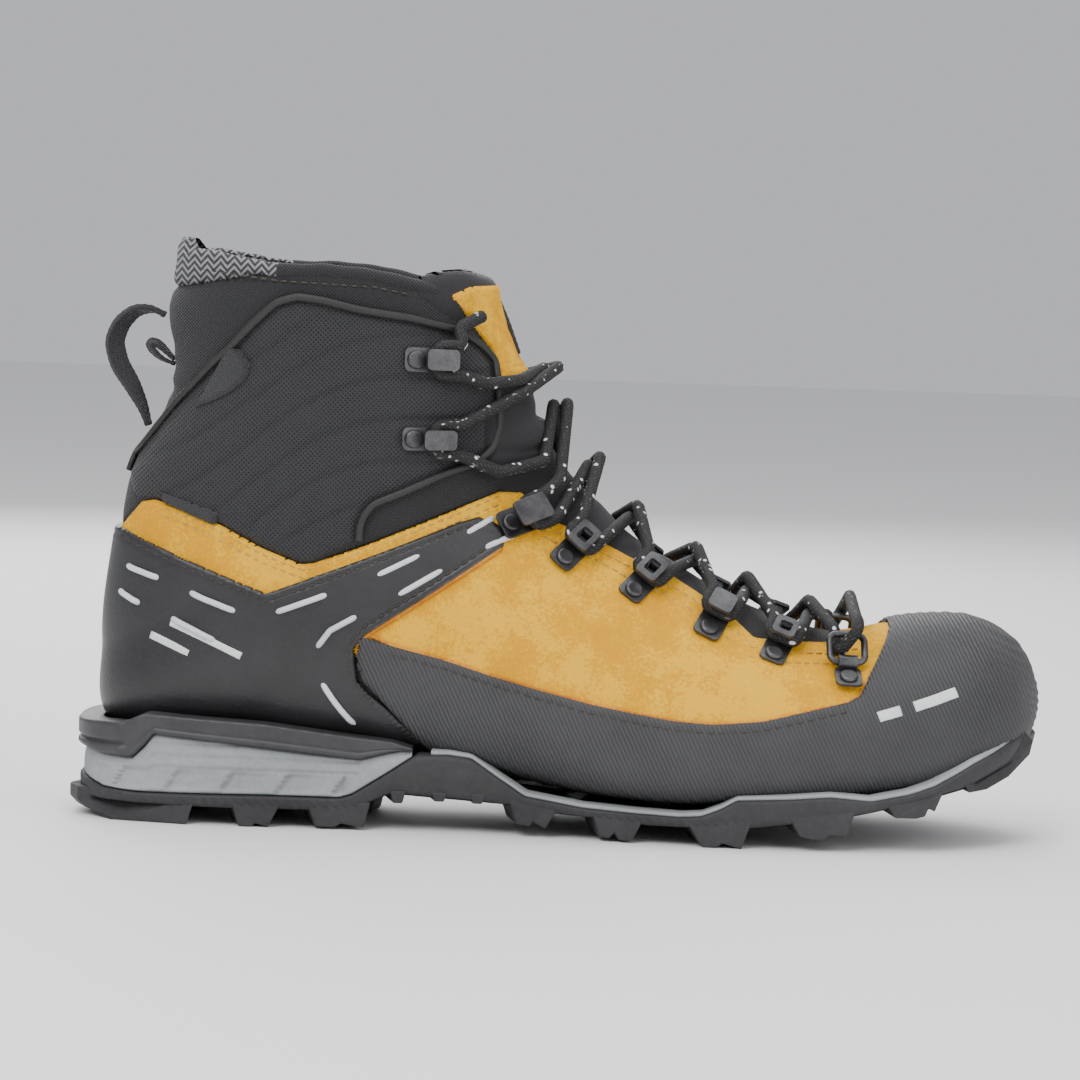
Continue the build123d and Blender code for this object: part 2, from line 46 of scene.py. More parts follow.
SECTIONS = [
    (300, 0, 0, 50, 37, 43, 11, 11, 8, 2.2, 2.4),
    (297, 0, 0, 57, 31.5, 41, 20, 20, 8, 2.3, 2.6),
    (291, 0, 0, 62.5, 27, 39, 30, 28, 7, 2.4, 3.0),
    (281, 0, 0, 66, 23.5, 36, 38, 35, 6, 2.4, 3.4),
    (265, 0, 0, 65.5, 20, 32, 44, 42, 4, 2.3, 3.6),
    (245, 0, 0, 62.5, 18, 30, 47.5, 47, 2, 2.1, 3.8),
    (225, 0, 0, 65, 16.5, 29, 49, 48.5, 1, 2.0, 3.8),
    (205, 150, 0, -77, -134, -123, 49, 46, 0, 1.9, 3.6),
    (205, 150, 15, -69, -138.5, -125, 46, 41, 0, 1.9, 3.4),
    (205, 150, 30, -66.5, -148, -120, 42, 36, 0, 1.9, 3.2),
    (205, 150, 42, -65, -166, -118, 38, 35, 0, 1.9, 3.2),
    (205, 150, 52, -67, -197, -125, 36.5, 35, 0, 2.0, 2.8),
    (205, 150, 58, -68, -226, -130, 36, 35.5, 0, 2.0, 2.4),
    (205, 150, 64, -69, -217.5, -128, 36, 36, 0, 2.0, 2.2),
    (205, 150, 70, -67.5, -206.5, -126, 36.5, 36.5, 0, 2.1, 2.1),
    (205, 150, 78, -67.5, -192, -124, 37, 37, 0, 2.2, 2.1),
    (205, 150, 84, -69.5, -178, -124, 37.5, 37.5, 0, 2.2, 2.1),
    (205, 150, 88.5, -72.5, -176, -125, 38, 38, 0, 2.2, 2.1),
    (205, 165, 88.8, -78.5, -178, -130, 39, 39, 0, 2.2, 2.1),
    (205, 195, 89, -83, -174, -131, 42, 42, 0, 2.2, 2.1),
]
THROAT = [
    (262, 69.5), (256, 66.5), (250, 62.5), (238, 60), (224, 60.5), (212, 62), (206, 67), (200, 70),
    (195, 74), (186, 79.5), (172, 85.5), (158, 93), (146, 97.5), (137, 106),
]
COLLAR = [
    (126, 168), (118, 169.5), (105, 171.5), (90, 174.8), (75, 176), (62, 175.5), (45, 178),
    (33, 179.5), (29, 177), (26, 171), (20, 168),
]
KNIT_SEAM = [(62, 174.8), (50, 172), (35, 169), (18, 165.5)]
BAND_TOP = [
    (130, 106.5), (120, 102.5), (92, 90.5), (74, 83.5), (70, 83), (58, 87.5), (45, 94), (33, 98.5),
    (24, 100.5), (20, 99.5), (13, 90.5),
]
OVERLAY = [
    (133, 92), (131.5, 95), (129, 96.5), (124, 98.5), (118, 97), (60, 73.5), (37, 82), (14.5, 90.5),
    (5, 91.5), (-8, 92), (-8, 30), (14, 30), (22, 31), (60, 29), (100, 25), (108, 24), (113, 27),
    (107, 32.5), (99.5, 39), (93, 43.5), (89, 48), (88, 53), (88, 58), (91, 62), (125, 84.5),
    (132, 89),
]
PANEL = [
    (88, 91), (88, 96), (89.5, 100), (92, 103), (100, 106.5), (113, 113), (122, 116.5), (126.5, 121),
    (128, 128), (127, 140), (125.5, 147), (122, 151), (115, 156.5), (100, 161), (85, 163.5),
    (75, 166), (67, 167), (61, 165), (54, 158), (40, 142), (30, 128), (21, 116), (14, 108),
    (17, 100), (24, 101), (33, 99), (45, 94.5), (58, 88), (70, 83.5), (74, 84),
]
PIPING = PANEL[:23]
RAND = [
    (89, 60), (91, 61), (100, 58.5), (115, 55), (130, 50.5), (150, 45.5), (162, 42.5), (175, 40),
    (188, 38), (200, 37.3), (215, 38.5), (230, 41.5), (241, 43.8), (245, 45.5), (250, 53),
    (255, 60), (261, 70), (262, 90), (325, 90), (325, 20), (262, 13), (200, 6), (150, 8),
    (128, 16), (118, 23), (112, 29), (100, 39.5), (90, 48.5), (88.3, 55),
]
SUEDE_HEM = [
    (262, 58), (256, 44), (245, 36), (230, 33), (200, 29), (175, 31), (150, 37), (130, 42),
    (100, 50), (89, 54), (84, 58), (87, 63), (128, 90), (118, 92), (60, 68.5), (14, 85), (-8, 86),
]
SOLE_PLAN = [
    (0, 12, 12), (4, 24, 23), (14, 33, 31), (35, 37.5, 35), (65, 38, 35.5), (100, 38, 31),
    (135, 40, 29), (165, 45, 34), (195, 51, 43), (225, 53.5, 50), (250, 52, 51), (270, 47, 47),
    (285, 38.5, 41), (296, 26, 31), (302, 12, 18),
]
SOLE_TOP = [
    (0, 13), (1.5, 12), (8, 9.8), (20, 9.2), (60, 9.8), (84, 9.8), (88, 11), (98, 17.5), (108, 24.5),
    (118, 24.8), (125, 24), (133, 18.6), (142, 12.8), (160, 10.2), (175, 9.4), (190, 9),
    (197, 9.6), (203, 12), (208, 15), (225, 16), (237, 17), (250, 16), (262, 18.2), (270, 20.8),
    (278, 24.8), (283, 27.6), (290, 30.6), (298.5, 35), (301, 39), (303.5, 45),
]
SOLE_BASE = [
    (0, 6), (50, 5.5), (90, 6), (94, 9), (100, 11.8), (138, 9.8), (153, 7.8), (163, 7.2),
    (180, 5.8), (193, 5.8), (212, 6.3), (225, 8), (244, 11.2), (255, 13.6), (272, 17.8),
    (280, 19.8), (295, 26.5), (303.5, 33),
]
LUGS = [
    ((3, 2.5), (0.5, 5), (0.5, 9), (39, 9), (36.5, 0.1), (12, 0.1)),
    ((50, 8), (53, 0), (57, 0), (58, 1.2), (62, 0), (66, 8)),
    ((74, 8), (77, 0.8), (83, 0.8), (85, 2), (92, 0.8), (94, 9)),
    ((100, 13), (101, 9), (104, 9), (105, 13)),
    ((113, 13), (114, 10), (117, 10), (118, 13)),
    ((125, 13), (126, 9.8), (129, 9.8), (130, 13)),
    ((137, 12), (140, 4), (144, 3.5), (145, 5), (149, 3), (153, 10)),
    ((163, 10), (166, 1.4), (169, 1.2), (170.5, 3), (172, 0.8), (176, 0.5), (180, 9)),
    ((192, 9), (198, 0), (202, 0), (204, 1.5), (210, 0), (213, 9)),
    ((224, 11), (228, 4.6), (233, 3.6), (236, 3.8), (237, 5.3), (242.5, 5), (245, 13)),
    ((254, 16), (257.5, 11), (264, 10.8), (267, 11.5), (268, 14), (270, 13), (273, 20)),
    ((279, 22), (281, 18.5), (287, 19.3), (294.5, 22.5), (302, 28.5), (303, 33), (300, 36)),
]


# ---- Materials --------------------------------------------------------------------------------
class Nodes:
    # A small helper that adds and links shader nodes
    def __init__(self, name, rough, metal=0.0):
        self.mat = bpy.data.materials.new(name)
        self.mat.use_nodes = True
        self.tree = self.mat.node_tree
        self.shader = self.tree.nodes["Principled BSDF"]
        self.shader.inputs["Roughness"].default_value = rough
        self.shader.inputs["Metallic"].default_value = metal
        coord = self.tree.nodes.new("ShaderNodeTexCoord")
        self.object = coord.outputs["Object"]
        self.uv = coord.outputs["UV"]

    def new(self, kind, **values):
        node = self.tree.nodes.new(kind)
        for key, value in values.items():
            if key.startswith("_"):
                setattr(node, key[1:], value)
            else:
                node.inputs[key.replace("_", " ")].default_value = value
        return node

    def link(self, source, target):
        self.tree.links.new(source, target)

    def scaled(self, source, scale, turn=(0, 0, 0)):
        node = self.new("ShaderNodeMapping")
        node.inputs["Scale"].default_value = scale
        node.inputs["Rotation"].default_value = turn
        self.link(source, node.inputs["Vector"])
        return node.outputs["Vector"]

    def noise(self, scale, detail=4.0, source=None, rough=0.6):
        node = self.new("ShaderNodeTexNoise", Scale=scale, Detail=detail, Roughness=rough)
        self.link(source or self.object, node.inputs["Vector"])
        return node.outputs["Fac"]

    def ramp(self, source, stops):
        node = self.new("ShaderNodeValToRGB")
        while len(node.color_ramp.elements) < len(stops):
            node.color_ramp.elements.new(0.5)
        for element, (place, colour) in zip(node.color_ramp.elements, stops):
            element.position = place
            element.color = (*colour, 1)
        self.link(source, node.inputs["Fac"])
        return node.outputs["Color"]

    def sum(self, first, second, gain=1.0):
        # first + second * gain
        node = self.new("ShaderNodeMath", _operation="MULTIPLY_ADD")
        self.link(second, node.inputs[0])
        node.inputs[1].default_value = gain
        self.link(first, node.inputs[2])
        return node.outputs[0]

    def bump(self, height, depth, strength=1.0):
        node = self.new("ShaderNodeBump", Distance=depth, Strength=strength)
        self.link(height, node.inputs["Height"])
        self.link(node.outputs["Normal"], self.shader.inputs["Normal"])

    def colour(self, source):
        self.link(source, self.shader.inputs["Base Color"])

    def rough(self, source, low, high):
        node = self.new("ShaderNodeMapRange", To_Min=low, To_Max=high)
        self.link(source, node.inputs["Value"])
        self.link(node.outputs["Result"], self.shader.inputs["Roughness"])


def suede_material(name, dark, mid, light):
    kit = Nodes(name, 0.9)
    blotch = kit.noise(55, 5)
    fibre = kit.noise(900, 6, rough=0.75)
    both = kit.sum(blotch, fibre, 0.9)
    kit.colour(kit.ramp(both, [(0.55, dark), (0.95, mid), (1.3, light)]))
    kit.shader.inputs["Sheen Weight"].default_value = 0.08
    kit.shader.inputs["Sheen Roughness"].default_value = 0.6
    kit.shader.inputs["Sheen Tint"].default_value = (*light, 1)
    kit.shader.inputs["Specular IOR Level"].default_value = 0.15
    kit.bump(kit.sum(fibre, blotch, 0.4), 0.0005, 0.75)
    return kit.mat


def rubber_material(name, dark, light, grain, rough, depth=0.0002):
    kit = Nodes(name, rough)
    cloud = kit.noise(30, 6)
    fine = kit.noise(grain, 5)
    kit.colour(kit.ramp(kit.sum(cloud, fine, 0.5), [(0.45, dark), (1.0, light)]))
    kit.rough(cloud, rough - 0.12, min(1.0, rough + 0.1))
    kit.bump(fine, depth, 0.7)
    return kit.mat


def lined_material(name, dark, light, direction, pitch, rough):
    # Rubber pressed with fine parallel ribs
    kit = Nodes(name, rough)
    turned = kit.scaled(kit.object, (1, 1, 1), (0, direction, 0))
    wave = kit.new("ShaderNodeTexWave", Scale=pitch, Distortion=1.2, Detail=2.0)
    wave.bands_direction = "X"
    wave.inputs["Detail Scale"].default_value = 0.8
    kit.link(turned, wave.inputs["Vector"])
    cloud = kit.noise(40, 5)
    fine = kit.noise(1500, 4)
    kit.colour(kit.ramp(kit.sum(cloud, wave.outputs["Fac"], 0.5), [(0.3, dark), (1.0, light)]))
    kit.rough(cloud, rough - 0.1, rough + 0.12)
    kit.bump(kit.sum(wave.outputs["Fac"], fine, 0.35), 0.0003, 0.8)
    return kit.mat


def weave_material(name, dark, light, pitch, rough=0.85, depth=0.00025):
    # Two crossed sets of yarns
    kit = Nodes(name, rough)
    first = kit.new("ShaderNodeTexWave", Scale=pitch, Distortion=0.6, Detail=1.0)
    second = kit.new("ShaderNodeTexWave", Scale=pitch, Distortion=0.6, Detail=1.0)
    kit.link(kit.scaled(kit.object, (1, 1, 1), (0, 0.785, 0)), first.inputs["Vector"])
    kit.link(kit.scaled(kit.object, (1, 1, 1), (0, -0.785, 0)), second.inputs["Vector"])
    mesh = kit.sum(first.outputs["Fac"], second.outputs["Fac"], 1.0)
    cloud = kit.noise(60, 4)
    kit.colour(kit.ramp(kit.sum(mesh, cloud, 0.6), [(0.4, dark), (2.1, light)]))
    kit.shader.inputs["Sheen Weight"].default_value = 0.08
    kit.shader.inputs["Specular IOR Level"].default_value = 0.25
    kit.bump(mesh, depth, 0.8)
    return kit.mat


def knit_material(name):
    # Grey zigzag knit
    kit = Nodes(name, 0.9)
    split = kit.new("ShaderNodeSeparateXYZ")
    kit.link(kit.object, split.inputs["Vector"])
    zig = kit.new("ShaderNodeMath", _operation="PINGPONG")
    kit.link(split.outputs["X"], zig.inputs[0])
    zig.inputs[1].default_value = 0.0022
    lift = kit.sum(split.outputs["Z"], zig.outputs[0], 1.1)
    rows = kit.new("ShaderNodeMath", _operation="PINGPONG")
    kit.link(lift, rows.inputs[0])
    rows.inputs[1].default_value = 0.0011
    height = kit.new("ShaderNodeMapRange", From_Max=0.0011)
    kit.link(rows.outputs[0], height.inputs["Value"])
    kit.colour(kit.ramp(height.outputs["Result"], [
        (0.15, (0.02, 0.02, 0.022)), (0.5, (0.11, 0.11, 0.115)), (0.9, (0.30, 0.30, 0.31)),
    ]))
    kit.bump(height.outputs["Result"], 0.0006, 0.9)
    return kit.mat


def metal_material(name):
    kit = Nodes(name, 0.38, 0.85)
    cloud = kit.noise(120, 6)
    fine = kit.noise(1400, 3)
    kit.colour(kit.ramp(kit.sum(cloud, fine, 0.3), [
        (0.4, (0.035, 0.035, 0.038)), (0.9, (0.13, 0.13, 0.135)),
    ]))
    kit.rough(cloud, 0.26, 0.5)
    kit.bump(fine, 0.00004, 0.6)
    return kit.mat


def lace_material():
    # Black braid with pale flecks; UV runs along the lace
    kit = Nodes("lace_braid", 0.8)
    weave = kit.new("ShaderNodeTexBrick", Scale=1.0)
    weave.inputs["Color1"].default_value = (0.012, 0.012, 0.013, 1)
    weave.inputs["Color2"].default_value = (0.03, 0.03, 0.032, 1)
    weave.inputs["Mortar"].default_value = (0.004, 0.004, 0.004, 1)
    weave.inputs["Mortar Size"].default_value = 0.06
    weave.inputs["Brick Width"].default_value = 0.5
    weave.inputs["Row Height"].default_value = 0.25
    kit.link(kit.scaled(kit.uv, (1, 1, 1), (0, 0, 0.6)), weave.inputs["Vector"])
    fleck = kit.new("ShaderNodeTexVoronoi", Scale=1.15, _feature="F1")
    kit.link(kit.uv, fleck.inputs["Vector"])
    mask = kit.ramp(fleck.outputs["Distance"], [(0.16, (1, 1, 1)), (0.22, (0, 0, 0))])
    mix = kit.new("ShaderNodeMix", _data_type="RGBA")
    kit.link(mask, mix.inputs[0])
    kit.link(weave.outputs["Color"], mix.inputs[6])
    mix.inputs[7].default_value = (0.62, 0.62, 0.64, 1)
    kit.colour(mix.outputs[2])
    kit.bump(weave.outputs["Fac"], 0.0002, -0.7)
    return kit.mat


SUEDE = suede_material("suede_ochre", (0.56, 0.25, 0.007), (0.70, 0.335, 0.010), (0.80, 0.43, 0.022))
# painted shade: darker suede for the strips in the creases at the foot of the rand and overlay edges
SUEDE_CREASE_SHADE = suede_material("suede_painted_shade", (0.30, 0.09, 0.01), (0.48, 0.17, 0.02), (0.60, 0.26, 0.04))
RAND_RUBBER = lined_material("rand_rubber", (0.020, 0.020, 0.021), (0.050, 0.050, 0.053), 0.45, 260, 0.62)
FILM = rubber_material("overlay_film", (0.010, 0.010, 0.011), (0.024, 0.024, 0.026), 700, 0.42)
PANEL_MESH = weave_material("panel_mesh", (0.004, 0.004, 0.0045), (0.035, 0.035, 0.038), 300)
CUFF_CLOTH = weave_material("cuff_cloth", (0.005, 0.005, 0.006), (0.028, 0.028, 0.03), 420)
SOFTSHELL = weave_material("softshell", (0.006, 0.006, 0.007), (0.022, 0.022, 0.024), 600, 0.7, 0.00012)
KNIT = knit_material("knit_grey")
LINING = weave_material("lining_brushed", (0.02, 0.02, 0.022), (0.09, 0.09, 0.095), 350)
PIPE = rubber_material("piping_tape", (0.006, 0.006, 0.006), (0.02, 0.02, 0.02), 1100, 0.6)
TREAD = rubber_material("tread_rubber", (0.009, 0.009, 0.010), (0.035, 0.035, 0.037), 420, 0.66, 0.0003)
GREY = rubber_material("wedge_grey", (0.20, 0.215, 0.22), (0.33, 0.345, 0.35), 520, 0.75, 0.0002)
TPU = rubber_material("ledge_plastic", (0.018, 0.018, 0.02), (0.045, 0.045, 0.048), 260, 0.5)
METAL = metal_material("gunmetal")
CABLE = rubber_material("cable_pale", (0.45, 0.46, 0.47), (0.75, 0.76, 0.78), 2000, 0.4)
MARK = rubber_material("pale_mark", (0.55, 0.56, 0.57), (0.80, 0.81, 0.82), 900, 0.5)
WEBBING = weave_material("webbing", (0.006, 0.006, 0.007), (0.05, 0.05, 0.053), 520, 0.8, 0.0004)
THREAD = rubber_material("thread_dark", (0.015, 0.013, 0.010), (0.06, 0.05, 0.04), 1800, 0.7)
THREAD_TAN = rubber_material("thread_tan", (0.33, 0.17, 0.02), (0.62, 0.38, 0.06), 1800, 0.7)
LACE = lace_material()


# ---- Mesh helpers -----------------------------------------------------------------------------
def mesh_object(name, points, faces, material, body="boot", smooth=True, uvs=None):
    # points are in heel millimetres
    data = bpy.data.meshes.new(name)
    place = (np.asarray(points, float) - (HALF, 0, 0)) * MM
    data.from_pydata(place.tolist(), [], [tuple(int(i) for i in f) for f in faces])
    if uvs is not None:
        layer = data.uv_layers.new(name="UVMap")
        index = np.zeros(len(data.loops), int)
        data.loops.foreach_get("vertex_index", index)
        layer.data.foreach_set("uv", np.asarray(uvs, np.float32)[index].ravel())
    data.materials.append(material)
    data.polygons.foreach_set("use_smooth", [smooth] * len(data.polygons))
    data.update()
    item = bpy.data.objects.new(name, data)
    bpy.context.scene.collection.objects.link(item)
    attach(item, body)
    return item


def outline_distance(points, outline):
    # Signed distance (inside positive) and the nearest outline point, in the side view
    ring = np.array(outline, float)
    best = np.full(len(points), 1e9)
    near = np.zeros((len(points), 2))
    inside = np.zeros(len(points), bool)
    for a, b in zip(ring, np.roll(ring, -1, 0)):
        run = b - a
        t = np.clip(((points - a) @ run) / max(run @ run, 1e-9), 0, 1)
        foot = a + t[:, None] * run
        gap = np.hypot(*(points - foot).T)
        closer = gap < best
        best[closer] = gap[closer]
        near[closer] = foot[closer]
        spans = (a[1] > points[:, 1]) != (b[1] > points[:, 1])
        drop = run[1] if abs(run[1]) > 1e-12 else 1e-12
        cross = a[0] + (points[:, 1] - a[1]) * run[0] / drop
        inside ^= spans & (points[:, 0] < cross)
    return np.where(inside, best, -best), near


def smooth_table(values, steps):
    # Catmull-Rom through the section table
    rows = np.array(values, float)
    padded = np.vstack([2 * rows[0] - rows[1], rows, 2 * rows[-1] - rows[-2]])
    found = []
    for index, count in enumerate(steps):
        p0, p1, p2, p3 = padded[index:index + 4]
        for t in np.arange(count) / count:
            found.append(0.5 * (2 * p1 + (p2 - p0) * t + (2 * p0 - 5 * p1 + 4 * p2 - p3) * t ** 2
                                + (3 * p1 - p0 - 3 * p2 + p3) * t ** 3))
    found.append(rows[-1])
    return np.array(found)


AROUND = 300
rows = []
for x, z, tilt, top, bottom, wide, lat, med, mid, up, low in SECTIONS:
    drop = 0 if z else 150
    rows.append((x, z or 150, tilt, top - drop, bottom - drop, wide - drop, lat, med, mid, up, low))
STEPS = [4, 7, 11, 17, 21, 21, 21, 38, 40, 38, 34, 42, 34, 30, 34, 26, 22, 18, 22]
table = smooth_table(rows, STEPS)
grid = []
for px, pz, tilt, top, bottom, wide, lat, med, mid, up, low in table:
    turn = np.linspace(0, 2 * np.pi, 1441) - np.pi / 2
    rise, run = np.sin(turn), np.cos(turn)
    power = np.where(rise > 0, 2 / up, 2 / low)
    v = wide + np.where(rise > 0, top - wide, wide - bottom) * np.sign(rise) * np.abs(rise) ** power
    half = np.where(run > 0, med, lat)
    y = mid + half * np.sign(run) * np.abs(run) ** power
    length = np.concatenate([[0], np.cumsum(np.hypot(np.diff(y), np.diff(v)))])
    even = np.linspace(0, length[-1], AROUND + 1)[:-1]
    y, v = np.interp(even, length, y), np.interp(even, length, v)
    lean = math.radians(tilt)
    grid.append(np.stack([px + v * math.sin(lean), y, pz + v * math.cos(lean)], 1))
# The nose closes in shrinking rings ahead of the first section
nose = grid[0].mean(0)
caps = [nose + (grid[0] - nose) * f + np.array((1.3 * (1 - f * f), 0, 0))
        for f in (0.01, 0.12, 0.26, 0.4, 0.54, 0.67, 0.79, 0.9)]
grid = np.array(caps + grid)
for _ in range(2):
    grid = (np.roll(grid, 1, 1) + 2 * grid + np.roll(grid, -1, 1)) / 4
along = np.gradient(grid, axis=0)
across = np.roll(grid, -1, 1) - np.roll(grid, 1, 1)
normal = np.cross(along, across)
normal /= np.linalg.norm(normal, axis=2)[..., None]
middle = grid.mean(1, keepdims=True)
if ((grid - middle) * normal).sum() < 0:
    normal = -normal
S_COUNT = len(grid)
BASE = grid.reshape(-1, 3)
NORMAL = normal.reshape(-1, 3)
index = np.arange(S_COUNT * AROUND).reshape(S_COUNT, AROUND)
QUADS = np.stack([index[:-1], index[1:], np.roll(index, -1, 1)[1:], np.roll(index, -1, 1)[:-1]], -1)
QUADS = QUADS.reshape(-1, 4)
master_tree = BVHTree.FromPolygons([Vector(p) for p in BASE], [tuple(map(int, q)) for q in QUADS])


def noise_field(points, size, seed=0):
    # Cheap smooth lumps for hand-made unevenness
    shift = seed * 1.7
    p = points / size
    return (np.sin(p[:, 0] * 1.3 + shift) * np.sin(p[:, 2] * 1.7 + 2 * shift)
            + 0.5 * np.sin(p[:, 0] * 2.9 + p[:, 1] * 1.1 + shift) * np.sin(p[:, 2] * 3.3 - shift)
            + 0.5 * np.sin(p[:, 1] * 2.3 + p[:, 2] * 1.9 + 3 * shift)) / 2


def surface_piece(name, outline, height, material, replaces=(), side=None, dip=0.6, edge=0.9,
                  relief=None):
    # One layer of the upper: the part of the form inside a side outline, with rolled edges
    flat = BASE[:, [0, 2]].copy()
    signed, near = outline_distance(flat, outline)
    points, normals = BASE.copy(), NORMAL
    close = np.abs(signed) < 0.62
    points[close, 0] = near[close, 0]
    points[close, 2] = near[close, 1]
    signed = np.where(close, 0.0, signed)
    keep = signed >= 0
    if side == "lateral":
        keep &= BASE[:, 1] < 0
    if side == "medial":
        keep &= BASE[:, 1] > 0
    quads = QUADS[keep[QUADS].all(1)]
    used = np.unique(quads)
    remap = np.full(len(BASE), -1)
    remap[used] = np.arange(len(used))
    near_edge = np.clip(signed[used] / edge, 0, 1)
    roll = np.sqrt(np.clip(1 - (1 - near_edge) ** 2, 0, 1))
    lift = height - (1 - roll) * dip
    if relief is not None:
        lift = lift + relief(points[used], signed[used]) * roll
    shown = points[used] + normals[used] * lift[:, None]
    faces = remap[quads]
    # a skirt turns the edge down into the layer below
    edges = {}
    for face in faces:
        for a, b in zip(face, np.roll(face, -1)):
            edges[(int(a), int(b))] = edges.get((int(a), int(b)), 0) + 1
    rim = [pair for pair in edges if (pair[1], pair[0]) not in edges]
    rim_points = sorted({i for pair in rim for i in pair})
    low = {i: len(shown) + n for n, i in enumerate(rim_points)}
    base_rim = shown[rim_points] - normals[used][rim_points] * (dip * 0.3 + 1.4)
    shown = np.vstack([shown, base_rim])
    skirt = [(b, a, low[a], low[b]) for a, b in rim]
    item = mesh_object(name, shown, list(map(tuple, faces)) + skirt, material)
    if replaces:
        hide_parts(*replaces)
    return item


def on_surface(x, z, side, lift):
    # Point and outward normal of the form at a side-view point
    sign = -1 if side == "lateral" else 1
    hit, face_normal, _, _ = master_tree.ray_cast(Vector((x, sign * 120, z)), Vector((0, -sign, 0)))
    if hit is None:
        hit, face_normal, _, _ = master_tree.find_nearest(Vector((x, sign * 3, z)))
    if (hit - Vector((x, 0, max(z - 20, 40)))).dot(face_normal) < 0:
        face_normal = -face_normal
    return np.array(hit + face_normal * lift), np.array(face_normal)


def resample(points, pitch):
    line = np.array(points, float)
    gaps = np.linalg.norm(np.diff(line, axis=0), axis=1)
    reach = np.concatenate([[0], np.cumsum(gaps)])
    even = np.arange(0, reach[-1], pitch)
    return np.stack([np.interp(even, reach, line[:, k]) for k in range(line.shape[1])], 1)


def tube(name, centre, radius, material, body="boot", around=12, flat=1.0, relief=None, ups=None):
    # Swept round or flattened section along a dense line
    centre = np.asarray(centre, float)
    ahead = np.gradient(centre, axis=0)
    ahead /= np.linalg.norm(ahead, axis=1)[:, None]
    up = np.array([0.0, 0.0, 1.0]) if ups is None else np.asarray(ups[0], float)
    points, faces, uvs = [], [], []
    reach = 0.0
    for i, (place, forward) in enumerate(zip(centre, ahead)):
        up = up if ups is None else np.asarray(ups[i], float)
        up = up - forward * (up @ forward)
        up /= max(np.linalg.norm(up), 1e-9)
        beside = np.cross(forward, up)
        if i:
            reach += np.linalg.norm(place - centre[i - 1])
        for k in range(around):
            turn = 2 * math.pi * k / around
            size = radius * (1 if relief is None else relief(reach, turn))
            points.append(place + beside * (math.cos(turn) * size)
                          + up * (math.sin(turn) * size * flat))
            uvs.append((reach / (2 * radius), k / around * 3))
    for i in range(len(centre) - 1):
        for k in range(around):
            a, b = i * around + k, i * around + (k + 1) % around
            faces.append((a, b, b + around, a + around))
    last = (len(centre) - 1) * around
    faces.append(tuple(range(around - 1, -1, -1)))
    faces.append(tuple(range(last, last + around)))
    return mesh_object(name, points, faces, material, body, uvs=uvs)


def stitches(name, runs, lift, material, pitch=3.0, length=2.3, radius=0.36):
    # Rows of separate thread stitches lying on a layer
    points, faces = [], []
    for line, side in runs:
        step = resample(line, pitch)
        for (x, z), (next_x, next_z) in zip(step, step[1:]):
            here, outward = on_surface(x, z, side, lift)
            there, _ = on_surface(next_x, next_z, side, lift)
            ahead = there - here
            size = np.linalg.norm(ahead)
            if size < 0.2:
                continue
            ahead /= size
            beside = np.cross(ahead, outward)
            start = len(points)
            for t, r in ((-0.5, 0.05), (-0.36, 0.8), (0, 1.0), (0.36, 0.8), (0.5, 0.05)):
                for k in range(6):
                    turn = math.pi * k / 3
                    points.append(here + ahead * (t * length) + beside * (math.cos(turn) * r * radius)
                                  + outward * (math.sin(turn) * r * radius - 0.3 * t * t))
            for ring in range(4):
                for k in range(6):
                    a, b = start + ring * 6 + k, start + ring * 6 + (k + 1) % 6
                    faces.append((a, b, b + 6, a + 6))
    return mesh_object(name, points, faces, material)


# ---- Upper layers -----------------------------------------------------------------------------
def suede_relief(points, signed):
    crease = 0.35 * noise_field(points, 9, 1) + 0.18 * noise_field(points, 3.5, 2)
    bed = -0.25 * np.exp(-((signed - 3.2) / 0.6) ** 2) - 0.25 * np.exp(-((signed - 5.8) / 0.6) ** 2)
    return crease * np.clip(signed / 4, 0, 1) + bed


def panel_relief(points, signed):
    # embossed wave grooves and soft padding
    x, z = points[:, 0], points[:, 2]
    wave = z - 0.42 * x + 7 * np.sin(x / 17.0)
    groove = np.exp(-((np.mod(wave, 13.0) - 6.5) / 1.3) ** 2)
    inner = np.clip(signed / 7, 0, 1)
    return (1.5 * np.sqrt(inner) - 0.8 * groove * inner + 0.25 * noise_field(points, 11, 3)
            + 0.16 * np.sin(x * 2.6) * np.sin(z * 2.6))


def cuff_relief(points, signed):
    x, z = points[:, 0], points[:, 2]
    back = np.clip((34 - x) / 12, 0, 1)
    folds = np.cos((z - 138.5) * 2 * np.pi / 8.5) * np.exp(-((z - 138.5) / 9) ** 2)
    return 1.0 * back * folds + 0.35 * noise_field(points, 10, 4) + 0.8 * np.clip(signed / 6, 0, 1)


def rand_relief(points, signed):
    x, z = points[:, 0], points[:, 2]
    rib = 0.16 * np.sin((z * 0.9 + x * 0.42) * 2 * np.pi / 1.9)
    return rib * np.clip(signed / 2, 0, 1) + 0.2 * noise_field(points, 14, 5)


def overlay_relief(points, signed):
    bed = -0.3 * np.exp(-((signed - 2.2) / 0.5) ** 2)
    return bed + 0.22 * noise_field(points, 12, 6)


def soft_relief(points, signed):
    return 0.5 * noise_field(points, 12, 7) + 0.25 * noise_field(points, 5, 8)


